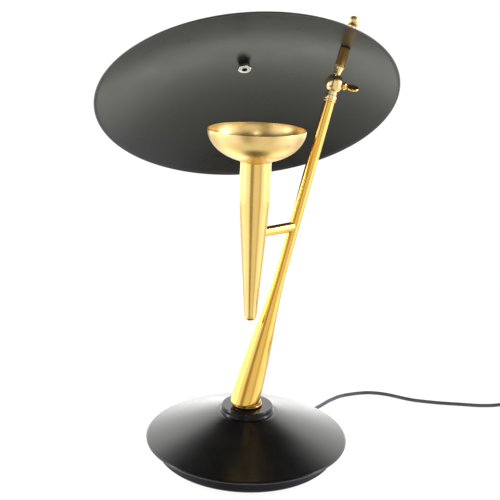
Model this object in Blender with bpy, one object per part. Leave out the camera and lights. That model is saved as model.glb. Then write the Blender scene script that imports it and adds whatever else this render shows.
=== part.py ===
"""Table lamp: a brass torch with a bowl that throws its light up, and a dark domed dish on a leaning arm that throws it down.

Units are metres, +Z up. The origin is the middle of the base on the table, and the arm leans towards +Y.
"""

import math

import bmesh
import bpy
from mathutils import Matrix, Vector

for old in list(bpy.data.objects):
    bpy.data.objects.remove(old, do_unlink=True)

MM = 0.001
GAP = 0.3  # what touching pieces keep between them, in mm like every size below

# Base
BASE_RIM_R = 109.3
BASE_RIM_Z = 18.6
PLINTH_R = 96.5
COVER_TOP_Z = 47.8
COVER_FLAT_R = 30.5
SHEET = 1.4
COLLAR_R = 28.0
COLLAR_TOP_Z = 54.5
FOOT_RING_R = 16.4
FOOT_Z = 59.6
POST_R_AT = 22.0

# Arm, tie bar and torch
LEAN = math.radians(18.3)
LEAN_FROM_Z = 71.0
TUBE_R = 6.0
TUBE_WALL = 1.3
SWIVEL_Z = 396.3
BAR_Z = 246.0
BAR_R = 5.4
BAR_BORE_R = 3.6
TORCH_R = 16.0
TORCH_TIP_Z = 151.0
TORCH_JOIN_Z = 156.8
TORCH_TAPER_TOP_Z = 280.0
TORCH_TOP_Z = 322.0
BOWL_R = 50.3
BOWL_RIM_Z = 355.0
BOWL_DEPTH = 33.7

# Ball joint, rod and dish
BALL_R = 10.0
SWIVEL_TURN = math.radians(36.8)  # how far the hinge axis is turned about the arm
ROD_TILT = math.radians(12.8)  # how far the rod leans further than the arm
ROD_R = 5.5
HOLE_S = 41.5  # from the ball's centre along the rod to the dish
DISH_R = 168.6
DISH_DEPTH = 54.6
DISH_THICK = 1.0
DISH_HOLE_ANGLE = math.radians(25.1)  # from the dish's middle to the rod's hole, seen from the dome's centre
DISH_TURN = math.radians(-113.3)  # of the dish about the rod
FINIAL_S = 72.9
FINIAL_R = 7.0

# Cord. FRONT is the direction the lamp is looked at from the front, and the cord's places are given across and away from it.
FRONT = math.radians(48.6)
CORD_R = 2.2
CORD_EXIT_AZ = math.radians(100.9)
CORD_EXIT_Z = 9.0
RELIEF_TIP_S = 116.4
RELIEF_DROP = 1.8
COIL_AT = (366.0, 72.0)
COIL_IN_R, COIL_OUT_R = 14.8, 37.4
COIL_LOW, COIL_HIGH = 0.9, 10.0
SWITCH_AT = (350.0, 128.0)
SWITCH_HALF = 29.0
SWITCH_Z = 7.5
PLUG_AT = (403.4, 51.0)
PLUG_Z = 7.3

X, Y, Z = Vector((1, 0, 0)), Vector((0, 1, 0)), Vector((0, 0, 1))


def turned(v, axis, angle):
    return Matrix.Rotation(angle, 3, axis) @ v


ARM_DIR = Vector((0, math.sin(LEAN), math.cos(LEAN)))
SWIVEL = Vector((0, (SWIVEL_Z - LEAN_FROM_Z) * math.tan(LEAN), SWIVEL_Z))
HINGE = turned(X, ARM_DIR, SWIVEL_TURN)
ROD_DIR = turned(ARM_DIR, HINGE, -ROD_TILT)
DOME_R = (DISH_R**2 + DISH_DEPTH**2) / (2 * DISH_DEPTH)
DOME_C = SWIVEL + ROD_DIR * (HOLE_S - DOME_R)
DISH_UP = turned(turned(ROD_DIR, HINGE, DISH_HOLE_ANGLE), ROD_DIR, DISH_TURN)
HOLE = SWIVEL + ROD_DIR * HOLE_S
OUT = Vector((math.cos(CORD_EXIT_AZ), math.sin(CORD_EXIT_AZ), 0))


# Materials


def material(name, colour, roughness, metallic):
    m = bpy.data.materials.new(name)
    m.use_nodes = True
    shader = m.node_tree.nodes["Principled BSDF"]
    shader.inputs["Base Color"].default_value = (*colour, 1)
    shader.inputs["Roughness"].default_value = roughness
    shader.inputs["Metallic"].default_value = metallic
    m.diffuse_color = (*colour, 1)
    return m


LOOKS = {
    "polished_brass": ((0.82, 0.60, 0.24), 0.12, 1.0),
    "satin_brass": ((0.80, 0.62, 0.30), 0.32, 1.0),
    "black_paint": ((0.02, 0.02, 0.02), 0.35, 0.0),
    "dish_paint": ((0.05, 0.05, 0.046), 0.4, 0.0),
    "steel": ((0.62, 0.62, 0.60), 0.25, 1.0),
    "cast_iron": ((0.12, 0.12, 0.12), 0.7, 0.6),
    "felt": ((0.03, 0.03, 0.03), 0.95, 0.0),
    "black_rubber": ((0.03, 0.03, 0.03), 0.55, 0.0),
    "black_plastic": ((0.025, 0.025, 0.025), 0.3, 0.0),
    "white_plastic": ((0.8, 0.8, 0.78), 0.4, 0.0),
    "ceramic": ((0.85, 0.83, 0.78), 0.4, 0.0),
    "clear_glass": ((0.9, 0.92, 0.92), 0.05, 0.0),
    "cord_sheath": ((0.05, 0.05, 0.055), 0.5, 0.0),
    "brown_wire": ((0.25, 0.12, 0.05), 0.5, 0.0),
    "blue_wire": ((0.05, 0.15, 0.45), 0.5, 0.0),
}


# Building blocks. Sizes go in as millimetres and meshes come out in metres.


def finish(name, points, faces, look, origin=None, smooth=40, guide=False):
    """A closed mesh from points in millimetres, with its own material and its origin where the piece turns."""
    origin = Vector((0, 0, 0)) if origin is None else Vector(origin)
    mesh = bpy.data.meshes.new(name)
    mesh.from_pydata([(Vector(p) - origin) * MM for p in points], [], faces)
    bm = bmesh.new()
    bm.from_mesh(mesh)
    bmesh.ops.recalc_face_normals(bm, faces=bm.faces)
    if bm.calc_volume(signed=True) < 0:
        bmesh.ops.reverse_faces(bm, faces=bm.faces)
    bm.to_mesh(mesh)
    bm.free()
    mesh.shade_smooth()
    mesh.set_sharp_from_angle(angle=math.radians(smooth))
    obj = bpy.data.objects.new(name, mesh)
    bpy.context.scene.collection.objects.link(obj)
    obj.location = origin * MM
    if guide:
        obj.hide_render = True
        obj.display_type = "WIRE"
    else:
        mesh.materials.append(material(name + "_" + look, *LOOKS[look]))
    return obj


def across(axis):
    """Two unit vectors square to axis and to each other."""
    axis = Vector(axis).normalized()
    u = X - axis * axis.dot(X) if abs(axis.x) < 0.9 else Y - axis * axis.dot(Y)
    u.normalize()
    return u, axis.cross(u)


def loft(rings, closed=False, first=None, last=None):
    """Skins a list of equal rings of points. Closed joins the last ring to the first; first and last are end points."""
    n = len(rings[0])
    points = [p for ring in rings for p in ring]
    faces = []
    count = len(rings)
    for i in range(count if closed else count - 1):
        a, b = i * n, ((i + 1) % count) * n
        for j in range(n):
            k = (j + 1) % n
            faces.append((a + j, a + k, b + k, b + j))
    for tip, start in ((first, 0), (last, (count - 1) * n)):
        if tip is not None:
            points.append(tip)
            at = len(points) - 1
            faces += [(at, start + j, start + (j + 1) % n) for j in range(n)]
    return points, faces


def circle(centre, u, v, ru, rv, n):
    return [
        Vector(centre)
        + u * (ru * math.cos(2 * math.pi * j / n))
        + v * (rv * math.sin(2 * math.pi * j / n))
        for j in range(n)
    ]


def lathe(name, profile, look, n=32, at=(0, 0, 0), axis=Z, origin=None, guide=False, smooth=40):
    """A turned piece from a profile of (radius, height along axis). It is a ring when the profile never meets the axis."""
    u, v = across(axis)
    axis = Vector(axis).normalized()
    at = Vector(at)
    first = last = None
    body = list(profile)
    if body[0][0] == 0:
        first = at + axis * body.pop(0)[1]
    if body[-1][0] == 0:
        last = at + axis * body.pop()[1]
    rings = [circle(at + axis * h, u, v, r, r, n) for r, h in body]
    points, faces = loft(rings, closed=first is None, first=first, last=last)
    return finish(name, points, faces, look, origin, smooth, guide)


def rod_between(name, start, end, radius, n=16):
    """A plain round cutter."""
    start, end = Vector(start), Vector(end)
    return lathe(
        name,
        [(0, 0), (radius, 0), (radius, (end - start).length), (0, (end - start).length)],
        None,
        n=n,
        at=start,
        axis=end - start,
        guide=True,
    )


def block(name, centre, along, size, guide=True, look=None):
    """A box: along is its length direction on the table, size its length, width and height."""
    along = Vector(along).normalized()
    side = Z.cross(along)
    centre = Vector(centre)
    points = [
        centre + along * (sx * size[0] / 2) + side * (sy * size[1] / 2) + Z * (sz * size[2] / 2)
        for sz in (-1, 1)
        for sy, sx in ((-1, -1), (-1, 1), (1, 1), (1, -1))
    ]
    faces = [(0, 3, 2, 1), (4, 5, 6, 7), (0, 1, 5, 4), (1, 2, 6, 5), (2, 3, 7, 6), (3, 0, 4, 7)]
    return finish(name, points, faces, look, guide=guide)


def carve(obj, tool, how="DIFFERENCE"):
    m = obj.modifiers.new(tool.name, "BOOLEAN")
    m.operation = how
    m.solver = "EXACT"
    m.object = tool


def arc(centre, radius, start, end, steps):
    """Points (r, h) on a circle arc in a profile, in degrees from +r."""
    return [
        (
            centre[0] + radius * math.cos(math.radians(start + (end - start) * i / steps)),
            centre[1] + radius * math.sin(math.radians(start + (end - start) * i / steps)),
        )
        for i in range(steps + 1)
    ]


def smooth_line(points, spacing):
    """A smooth curve through the points, read at an even spacing."""
    p = [Vector(q) for q in points]
    p = [p[0] * 2 - p[1], *p, p[-1] * 2 - p[-2]]
    fine = []
    for i in range(1, len(p) - 2):
        for k in range(24):
            t = k / 24
            fine.append(
                (
                    p[i] * 2
                    + (p[i + 1] - p[i - 1]) * t
                    + (p[i - 1] * 2 - p[i] * 5 + p[i + 1] * 4 - p[i + 2]) * t * t
                    + (p[i] * 3 - p[i - 1] - p[i + 1] * 3 + p[i + 2]) * t * t * t
                )
                / 2
            )
    fine.append(p[-2])
    total = sum((b - a).length for a, b in zip(fine, fine[1:]))
    steps = max(2, round(total / spacing))
    line, run, want = [fine[0]], 0.0, total / steps
    for a, b in zip(fine, fine[1:]):
        step = (b - a).length
        while run + step >= want - 1e-9 and len(line) < steps:
            t = (want - run) / step
            line.append(a.lerp(b, t))
            want += total / steps
        run += step
    line.append(fine[-1])
    return line


def thinned(points, turn=2.0):
    """Leaves out the points where the line hardly turns, in degrees."""
    kept = [points[0]]
    for i in range(1, len(points) - 1):
        into, out = points[i] - kept[-1], points[i + 1] - points[i]
        if into.angle(out) > math.radians(turn):
            kept.append(points[i])
    return [*kept, points[-1]]


def tube(name, points, radius, look, sides=2):
    """A cord or wire: a bevelled curve with filled ends."""
    curve = bpy.data.curves.new(name, "CURVE")
    curve.dimensions = "3D"
    curve.bevel_depth = radius * MM
    curve.bevel_resolution = sides
    curve.use_fill_caps = True
    spline = curve.splines.new("POLY")
    spline.points.add(len(points) - 1)
    for p, q in zip(spline.points, points):
        p.co = (*(Vector(q) * MM), 1)
    obj = bpy.data.objects.new(name, curve)
    bpy.context.scene.collection.objects.link(obj)
    curve.materials.append(material(name + "_" + look, *LOOKS[look]))
    return obj


def hexagon(name, flats, bore, low, high, look, at=(0, 0, 0), axis=Z, origin=None):
    """A chamfered hexagon nut along axis."""
    u, v = across(axis)
    axis = Vector(axis).normalized()
    at = Vector(at)
    n = 24
    chamfer = min(0.6, (high - low) * 0.2)

    def ring(h, most, shape):
        points = []
        for j in range(n):
            a = 2 * math.pi * j / n
            inside = (a + math.pi / 6) % (math.pi / 3) - math.pi / 6
            r = flats / 2 / math.cos(inside) if shape == "hex" else bore
            r = min(r, most)
            points.append(at + axis * h + u * (r * math.cos(a)) + v * (r * math.sin(a)))
        return points

    most = flats / 2 * 1.035
    rings = [
        ring(low, 99, "bore"),
        ring(low, most, "hex"),
        ring(low + chamfer, 99, "hex"),
        ring(high - chamfer, 99, "hex"),
        ring(high, most, "hex"),
        ring(high, 99, "bore"),
    ]
    points, faces = loft(rings, closed=True)
    return finish(name, points, faces, look, origin, smooth=25)


# Base: felt, plinth, weight, spun cover, collar and what clamps them


def cone_z(r):
    """Height of the cover's outer face at radius r."""
    return COVER_TOP_Z - 0.9 - (r - COVER_FLAT_R - 3) * 0.365


lathe("felt_pad", [(0, 0), (94.1, 0), (94.5, 0.4), (94.5, 1.3), (0, 1.3)], "felt", n=40)

plinth = lathe(
    "base_plinth",
    [
        (64, 1.6),
        (PLINTH_R - 0.8, 1.6),
        (PLINTH_R, 2.4),
        (PLINTH_R, cone_z(PLINTH_R) - SHEET - 0.45),
        (89, cone_z(89) - SHEET - 0.45),
        (89, 3.2),
        (64, 3.2),
    ],
    "black_paint",
    n=48,
)
carve(plinth, rod_between("cut_gland", OUT * 82 + Z * CORD_EXIT_Z, OUT * 106 + Z * CORD_EXIT_Z, 4.8))

weight = lathe(
    "base_weight",
    [(30, 3.5), (87.4, 3.5), (88.6, 4.7), (88.6, 15), (87.6, 16), (5.6, 16), (5.6, 12.5), (30, 12.5)],
    "cast_iron",
    n=32,
)
carve(weight, block("cut_cable_slot", OUT * 77 + Z * 10, OUT, (42, 13, 20)))

cover = lathe(
    "base_cover",
    [(5.45, COVER_TOP_Z), (COVER_FLAT_R, COVER_TOP_Z)]
    + [(r, cone_z(r)) for r in (33.5, 104)]
    + [(107.8, cone_z(107.8)), (BASE_RIM_R, BASE_RIM_Z), (BASE_RIM_R - 0.1, 17.6), (108.0, 17.0), (107.1, 17.6)]
    + [(r, cone_z(r) - SHEET) for r in (106.2, 33.2)]
    + [(30.2, COVER_TOP_Z - SHEET), (5.45, COVER_TOP_Z - SHEET)],
    "black_paint",
    n=48,
)

lathe(
    "base_collar",
    [
        (5.45, 48.1),
        (29.2, 48.1),
        (29.4, 48.4),
        (28.4, 49.2),
        (COLLAR_R, 50.4),
        (COLLAR_R, 53.7),
        (27.2, COLLAR_TOP_Z),
        (5.45, COLLAR_TOP_Z),
    ],
    "black_paint",
    n=36,
)
lathe(
    "foot_ring",
    [
        (5.45, COLLAR_TOP_Z + GAP),
        (16.2, COLLAR_TOP_Z + GAP),
        (FOOT_RING_R, 55.4),
        (16.2, 56.6),
        (15.6, 57.4),
        (16.0, 58.4),
        (15.7, FOOT_Z - GAP),
        (5.45, FOOT_Z - GAP),
    ],
    "polished_brass",
    n=28,
)
lathe("base_stud", [(3.4, 35), (5.0, 35), (5.0, 72), (3.4, 72)], "steel", n=16)
lathe("base_washer", [(5.4, 44.6), (10.5, 44.6), (10.5, 46.1), (5.4, 46.1)], "steel", n=20)
hexagon("base_nut", 17.0, 5.3, 38.4, 44.2, "steel")

for i in range(3):
    a = CORD_EXIT_AZ + math.radians(60 + 120 * i)
    spot = Vector((math.cos(a), math.sin(a), 0)) * POST_R_AT
    lathe(
        f"cover_post_{i + 1}",
        [(0, 27), (1.9, 27), (1.9, 16.3), (3.5, 16.3), (3.5, COVER_TOP_Z - SHEET - GAP), (0, COVER_TOP_Z - SHEET - GAP)],
        "steel",
        n=12,
        at=spot,
    )
    lathe(
        f"base_screw_{i + 1}",
        [(0, 10.9), (1.3, 10.9), (1.3, 9.6), (3.3, 9.6), (3.7, 10), (3.7, 12.2), (1.6, 12.2), (1.6, 24), (0, 24.6)],
        "steel",
        n=12,
        at=spot,
    )
    carve(weight, rod_between(f"cut_screw_{i + 1}", spot + Z * 8, spot + Z * 20, 2.2, n=12))

# Wiring inside the base



def relief_ring(s, radius, n=12):
    """A section of the sleeve that the cord leaves the plinth by. It droops a little outside the plinth."""
    out = max(0, s - PLINTH_R)
    span = RELIEF_TIP_S - PLINTH_R
    slope = -2 * RELIEF_DROP * out / span**2
    up = Vector((-OUT.x * slope, -OUT.y * slope, 1)).normalized()
    return circle(OUT * s + Z * (CORD_EXIT_Z - RELIEF_DROP * (out / span) ** 2), Z.cross(OUT), up, radius, radius, n)


stations = [
    (86.4, 5.0),
    (86.8, 5.3),
    (88.6, 5.3),
    (88.6, 4.4),
    (96.8, 4.4),
    (96.8, 6.2),
    (97.3, 6.5),
    (98.7, 6.3),
    (99.2, 4.7),
    (104, 4.1),
    (110, 3.4),
    (RELIEF_TIP_S - 0.4, 3.0),
    (RELIEF_TIP_S, 2.7),
]
points, faces = loft(
    [relief_ring(s, r) for s, r in stations],
    first=OUT * 86.4 + Z * CORD_EXIT_Z,
    last=OUT * RELIEF_TIP_S + Z * (CORD_EXIT_Z - RELIEF_DROP),
)
finish("cord_strain_relief", points, faces, "black_rubber")
tube(
    "cord_tail",
    smooth_line(
        [OUT * 86.1 + Z * CORD_EXIT_Z, OUT * 78 + Z * 9.4, OUT * 69 + Z * 14.6, OUT * 62 + Z * 20.6, OUT * 55.4 + Z * 22.4, OUT * 54.4 + Z * 22.5],
        5,
    ),
    CORD_R,
    "cord_sheath",
)
block("terminal_block", OUT * 44 + Z * 22.7, OUT, (20, 16, 12.6), guide=False, look="white_plastic")


def arm_axis(z):
    return Vector((0, (z - LEAN_FROM_Z) * math.tan(LEAN), z))


BAR_ARM = arm_axis(BAR_Z)

lead_line = [
    OUT * 33.4 + Z * 22.7,
    OUT * 24 + Z * 22.9,
    OUT * 9 + Z * 24.6,
    OUT * 1.5 + Z * 32,
    Vector((0, 0, 42)),
    Vector((0, 0, 58)),
    Vector((0, 0.3, 72)),
    arm_axis(84),
    arm_axis(110),
    arm_axis(160),
    arm_axis(210),
    arm_axis(232) + Y * 0.6,
    arm_axis(240) + Y * 0.5,
    Vector((0, BAR_ARM.y - 2.2, BAR_Z - 0.1)),
    Vector((0, BAR_ARM.y - 6.8, BAR_Z + 1.3)),
    Vector((0, BAR_ARM.y - 14, BAR_Z + 0.6)),
    Vector((0, 30, BAR_Z)),
    Vector((0, 15, BAR_Z)),
    Vector((0, 6.5, BAR_Z + 2.2)),
    Vector((0, 2.4, BAR_Z + 9)),
    Vector((0, 1.2, BAR_Z + 20)),
    Vector((0, 0.2, 282)),
    Vector((0, 0, 296.6)),
]
for name, side, look in (("lead_live", 1.15, "brown_wire"), ("lead_neutral", -1.15, "blue_wire")):
    tube(name, [p + X * side for p in thinned(smooth_line(lead_line, 3.5), 4)], 0.8, look, sides=1)

# Arm: a straight leaning tube with a trumpet foot, cut level where it stands on the foot ring

FLARE = [
    (FOOT_Z, 13.9),
    (60.6, 15.0),
    (64, 15.45),
    (74, 15.45),
    (98, 14.0),
    (124.6, 11.75),
    (144, 9.7),
    (168, 7.6),
    (188, 6.3),
    (206, TUBE_R),
]
ARM_TOP_D = 20.0  # from the ball's centre down the arm


def arm_ring(z, radius, n=24, level=None):
    """A section of the arm about its axis. It is level at the foot and square to the axis higher up."""
    tip = LEAN * min(1, max(0, (z - FOOT_Z) / 16)) if level is None else level
    v = Vector((0, math.cos(tip), -math.sin(tip)))
    return circle(arm_axis(z), X, v, radius, radius / math.cos(LEAN - tip), n)


top = SWIVEL - ARM_DIR * ARM_TOP_D
v_top = Vector((0, math.cos(LEAN), -math.sin(LEAN)))
rings = [arm_ring(z, r) for z, r in FLARE]
rings += [circle(top - ARM_DIR * 0.5, X, v_top, TUBE_R, TUBE_R, 24), circle(top, X, v_top, TUBE_R - 0.4, TUBE_R - 0.4, 24)]
rings += [circle(top, X, v_top, TUBE_R - TUBE_WALL, TUBE_R - TUBE_WALL, 24)]
rings += [arm_ring(z, r - TUBE_WALL) for z, r in reversed(FLARE) if z > 80]
rings += [arm_ring(78, 13.9, level=LEAN)]
rings += [circle(Z * z, X, Y, 5.35, 5.35, 24) for z in (73.6, FOOT_Z)]
points, faces = loft(rings, closed=True)
arm = finish("arm", points, faces, "polished_brass")
carve(arm, rod_between("cut_arm_hole", (0, BAR_ARM.y - 14, BAR_Z), (0, BAR_ARM.y + 0.5, BAR_Z), 3.4))


def torch_r(z):
    low, high = 6.5, TORCH_R
    return low + (high - low) * min(1, (z - TORCH_JOIN_Z) / (TORCH_TAPER_TOP_Z - TORCH_JOIN_Z))


# Tie bar: a short tube coped to the torch at one end and to the arm at the other


def bar_ring(radius, end, n=24):
    points = []
    for j in range(n):
        a = 2 * math.pi * j / n
        x, h = radius * math.cos(a), radius * math.sin(a)
        if end == "torch":
            y = math.sqrt((torch_r(BAR_Z + h) + GAP) ** 2 - x * x)
        elif end == "arm":
            y = BAR_ARM.y + (h * math.sin(LEAN) - math.sqrt((TUBE_R + GAP) ** 2 - x * x)) / math.cos(LEAN)
        else:
            y = end
        points.append(Vector((x, y, BAR_Z + h)))
    return points


points, faces = loft(
    [bar_ring(BAR_R, "torch"), bar_ring(BAR_R, 30), bar_ring(BAR_R, "arm"), bar_ring(BAR_BORE_R, "arm"), bar_ring(BAR_BORE_R, 30), bar_ring(BAR_BORE_R, "torch")],
    closed=True,
)
finish("tie_bar", points, faces, "polished_brass")

# Torch: tapered tube, rounded tip, bowl, and the lampholder inside

WALL = 1.3
torch = lathe(
    "torch_body",
    [(torch_r(z), z) for z in (TORCH_JOIN_Z, TORCH_TAPER_TOP_Z - 3)]
    + [(TORCH_R, TORCH_TAPER_TOP_Z + 2), (TORCH_R, TORCH_TOP_Z)]
    + [(TORCH_R - WALL, TORCH_TOP_Z), (TORCH_R - WALL, TORCH_TAPER_TOP_Z + 2)]
    + [(torch_r(z) - WALL, z) for z in (TORCH_TAPER_TOP_Z - 3, TORCH_JOIN_Z)],
    "satin_brass",
    n=36,
)
carve(torch, rod_between("cut_torch_hole", (0, 4, BAR_Z), (0, 22, BAR_Z), 3.4))
lathe(
    "torch_tip",
    [
        (0, TORCH_TIP_Z),
        (3.2, 151.4),
        (5.4, 153.0),
        (6.4, 155.2),
        (6.5, TORCH_JOIN_Z - GAP),
        (4.6, TORCH_JOIN_Z - GAP),
        (4.6, 165),
        (0, 165),
    ],
    "satin_brass",
    n=20,
)

bowl_out = [
    (BOWL_R * math.cos(math.radians(u)), BOWL_RIM_Z - BOWL_DEPTH * math.sin(math.radians(u)))
    for u in (69, 52, 35, 18, 0)
]
bowl_in = [
    ((BOWL_R - 1.2) * math.cos(math.radians(u)), BOWL_RIM_Z - (BOWL_DEPTH - 1.2) * math.sin(math.radians(u)))
    for u in (0, 18, 35, 52, 69)
]
lathe(
    "bowl",
    [(13.3, TORCH_TOP_Z + GAP), (16.4, TORCH_TOP_Z + GAP)]
    + bowl_out
    + [(BOWL_R - 0.3, BOWL_RIM_Z + 0.45), (BOWL_R - 0.9, BOWL_RIM_Z + 0.45)]
    + bowl_in
    + [(13.3, 323.9)],
    "satin_brass",
    n=40,
)
lathe(
    "bowl_ring",
    [(11.6, 306), (12.9, 306), (12.9, 325.0), (16.9, 325.0), (16.6, 326.5), (11.6, 326.5)],
    "satin_brass",
    n=24,
)
lathe(
    "lampholder",
    [(0, 309), (7.3, 309), (7.3, 319.5), (10.3, 319.5), (10.8, 319), (10.8, 298), (10.2, 297.3), (0, 297.3)],
    "ceramic",
    n=24,
)
lathe("lampholder_plate", [(3.2, 295.5), (14.2, 295.5), (14.2, 297.0), (3.2, 297.0)], "steel", n=24)
lathe("bulb_cap", [(0, 309.5), (6.6, 309.5), (6.9, 310), (6.9, 320.2), (6.2, 320.8), (0, 320.8)], "ceramic", n=20)
lathe(
    "bulb_capsule",
    [(0, 321.1), (5.4, 321.1), (6.4, 322.5), (6.5, 325), (6.5, 337), (5.8, 340), (4.0, 342.6), (1.8, 343.8), (0, 344.1)],
    "clear_glass",
    n=20,
)

# Ball joint at the top of the arm. Each half has a round neck that runs past the split, hollowed for the other half.

SPLIT = 0.55


def half_ball(name, way, radius, flat, guide, look=None, n=20):
    """A half ball on one side of the split. way is along or against the hinge axis."""
    start = math.asin(flat / radius)
    steps = 5
    profile = [(0, flat)] + [
        (radius * math.cos(start + (math.pi / 2 - start) * i / steps), radius * math.sin(start + (math.pi / 2 - start) * i / steps))
        for i in range(steps)
    ]
    return lathe(name, profile + [(0, radius)], look, n=n, at=SWIVEL, axis=way, origin=SWIVEL, guide=guide)


lower = lathe(
    "swivel_lower",
    [(0, 5), (5.5, 5), (5.9, 9.5), (6.3, 14), (6.8, 18.6), (6.6, ARM_TOP_D - GAP), (4.3, ARM_TOP_D - GAP), (4.3, 28), (0, 28)],
    "polished_brass",
    n=20,
    at=SWIVEL,
    axis=-ARM_DIR,
)
carve(lower, half_ball("add_lower_ball", -HINGE, BALL_R, SPLIT, True), "UNION")
carve(lower, half_ball("cut_lower_clear", HINGE, BALL_R + 0.45, 0.03 - SPLIT, True))
carve(lower, rod_between("cut_lower_thread", SWIVEL - HINGE * 7.5, SWIVEL + HINGE * 1, 2.9))

upper = lathe(
    "swivel_upper",
    [(0, 5), (3.9, 5), (3.9, 10.6), (4.3, 13), (5.4, 18.0), (5.3, 18.5), (3.0, 18.5), (3.0, 26), (0, 26)],
    "polished_brass",
    n=20,
    at=SWIVEL,
    axis=ROD_DIR,
    origin=SWIVEL,
)
carve(upper, half_ball("add_upper_ball", HINGE, BALL_R, SPLIT, True), "UNION")
carve(upper, half_ball("cut_upper_clear", -HINGE, BALL_R + 0.45, 0.03 - SPLIT, True))
carve(upper, rod_between("cut_upper_hole", SWIVEL - HINGE * 2, SWIVEL + HINGE * 12, 2.9))

lathe("swivel_washer", [(2.9, -0.25), (7.5, -0.25), (7.5, 0.25), (2.9, 0.25)], "steel", n=20, at=SWIVEL, axis=HINGE, origin=SWIVEL)

# Thumb screw: shank, hub and an oval wing, all in one

wing_u = (Z - HINGE * HINGE.z).normalized()
wing_v = HINGE.cross(wing_u)
wing_side = turned(wing_v, HINGE, math.radians(18))
wing_flat = HINGE.cross(wing_side)
stations = [
    (-6.2, 2.0, 2.0),
    (-5.8, 2.45, 2.45),
    (10.4, 2.45, 2.45),
    (10.4, 3.9, 3.9),
    (10.8, 4.3, 4.3),
    (12.4, 4.2, 4.2),
    (13.4, 3.4, 3.2),
    (14.4, 3.2, 2.5),
    (15.4, 4.4, 2.2),
    (17.0, 5.6, 2.2),
    (19.4, 6.5, 2.2),
    (22.0, 6.5, 2.1),
    (24.4, 5.4, 1.9),
    (26.0, 3.8, 1.5),
    (27.0, 1.7, 0.8),
]
rings = [circle(SWIVEL + HINGE * s, wing_side, wing_flat, a, b, 14) for s, a, b in stations]
points, faces = loft(rings, first=SWIVEL + HINGE * -6.2, last=SWIVEL + HINGE * 27.2)
finish("thumb_screw", points, faces, "polished_brass", origin=SWIVEL)

# Rod, washers and finial on one line through the ball's centre

lathe(
    "reflector_rod",
    [(0, 27), (3.4, 27), (3.4, 18.8), (5.4, 18.8), (ROD_R, 19.1), (ROD_R, 39.9), (5.3, 40.1), (3.0, 40.1), (3.0, 62), (0, 62.4)],
    "polished_brass",
    n=20,
    at=SWIVEL,
    axis=ROD_DIR,
    origin=SWIVEL,
)
lathe("lower_washer", [(3.4, 40.4), (5.5, 40.4), (5.5, 41.2), (3.4, 41.2)], "black_rubber", n=20, at=SWIVEL, axis=ROD_DIR, origin=HOLE)
lathe("upper_washer", [(3.4, 42.8), (6.6, 42.8), (6.6, 43.5), (3.4, 43.5)], "steel", n=20, at=SWIVEL, axis=ROD_DIR, origin=HOLE)
lathe(
    "finial",
    [(0, 63.4), (3.3, 63.4), (3.3, 43.9), (6.3, 43.9), (6.3, 45.2), (5.5, 46), (5.5, 60), (3.5, 63), (3.3, 66)]
    + [(FINIAL_R * math.cos(math.radians(u)), FINIAL_S + FINIAL_R * math.sin(math.radians(u))) for u in (-58, -30, 0, 28, 54, 76)]
    + [(0, FINIAL_S + FINIAL_R)],
    "polished_brass",
    n=20,
    at=SWIVEL,
    axis=ROD_DIR,
    origin=HOLE,
)

# Dish: a shallow dome of one radius with a rolled rim, a hole in its middle and one for the rod

rim_angle = math.degrees(math.asin(DISH_R / DOME_R))
hole_angle = math.degrees(math.asin(5.45 / DOME_R))
dish_angles = [hole_angle, 7, 13, 18.5, 23.5, 26.7, 31.5, rim_angle - 0.3]  # closest where the rod passes


def dome(radius, angle):
    return (radius * math.sin(math.radians(angle)), radius * math.cos(math.radians(angle)))


inner = [dome(DOME_R, angle) for angle in dish_angles]
outer = [dome(DOME_R + DISH_THICK, angle) for angle in reversed(dish_angles)]
bead = dome(DOME_R + DISH_THICK / 2, rim_angle)
rim = [
    (bead[0] + 0.95 * math.cos(math.radians(a - rim_angle)), bead[1] + 0.95 * math.sin(math.radians(a - rim_angle)))
    for a in (-110, -36, 36, 110)
]
dish = lathe("reflector", inner + rim + outer, "dish_paint", n=48, at=DOME_C, axis=DISH_UP, origin=HOLE, smooth=30)
carve(dish, rod_between("cut_dish_hole", HOLE - ROD_DIR * 5, HOLE + ROD_DIR * 6, 3.45))

apex = DOME_C + DISH_UP * DOME_R
lathe(
    "centre_washer",
    [(5.4, -4.2), (7.6, -4.2), (7.6, -3.4), (6.7, -GAP), (5.4, -GAP)],
    "black_plastic",
    n=24,
    at=apex,
    axis=DISH_UP,
    origin=HOLE,
)
hexagon("centre_nut", 14.0, 5.3, -7.8, -4.5, "steel", at=apex, axis=DISH_UP, origin=HOLE)
lathe("centre_stud", [(3.4, -8.1), (4.7, -8.1), (5.0, -7.8), (5.0, 6), (3.4, 6)], "steel", n=20, at=apex, axis=DISH_UP, origin=HOLE)
lathe(
    "centre_cap",
    [(0, 6.6), (5.35, 6.6), (5.35, 1.3), (9.0, 1.3), (9.2, 2.2), (8.8, 5), (7.2, 7.4), (4.2, 9), (0, 9.6)],
    "black_plastic",
    n=24,
    at=apex,
    axis=DISH_UP,
    origin=HOLE,
)

# Cord on the table: run out of the base, in-line switch, coil with its tie, and the plug beside the coil

ACROSS = Vector((math.cos(FRONT), math.sin(FRONT), 0))
AWAY = Z.cross(ACROSS)


def table(across, away, z=CORD_R + 0.05):
    return ACROSS * across + AWAY * away + Z * z


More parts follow.
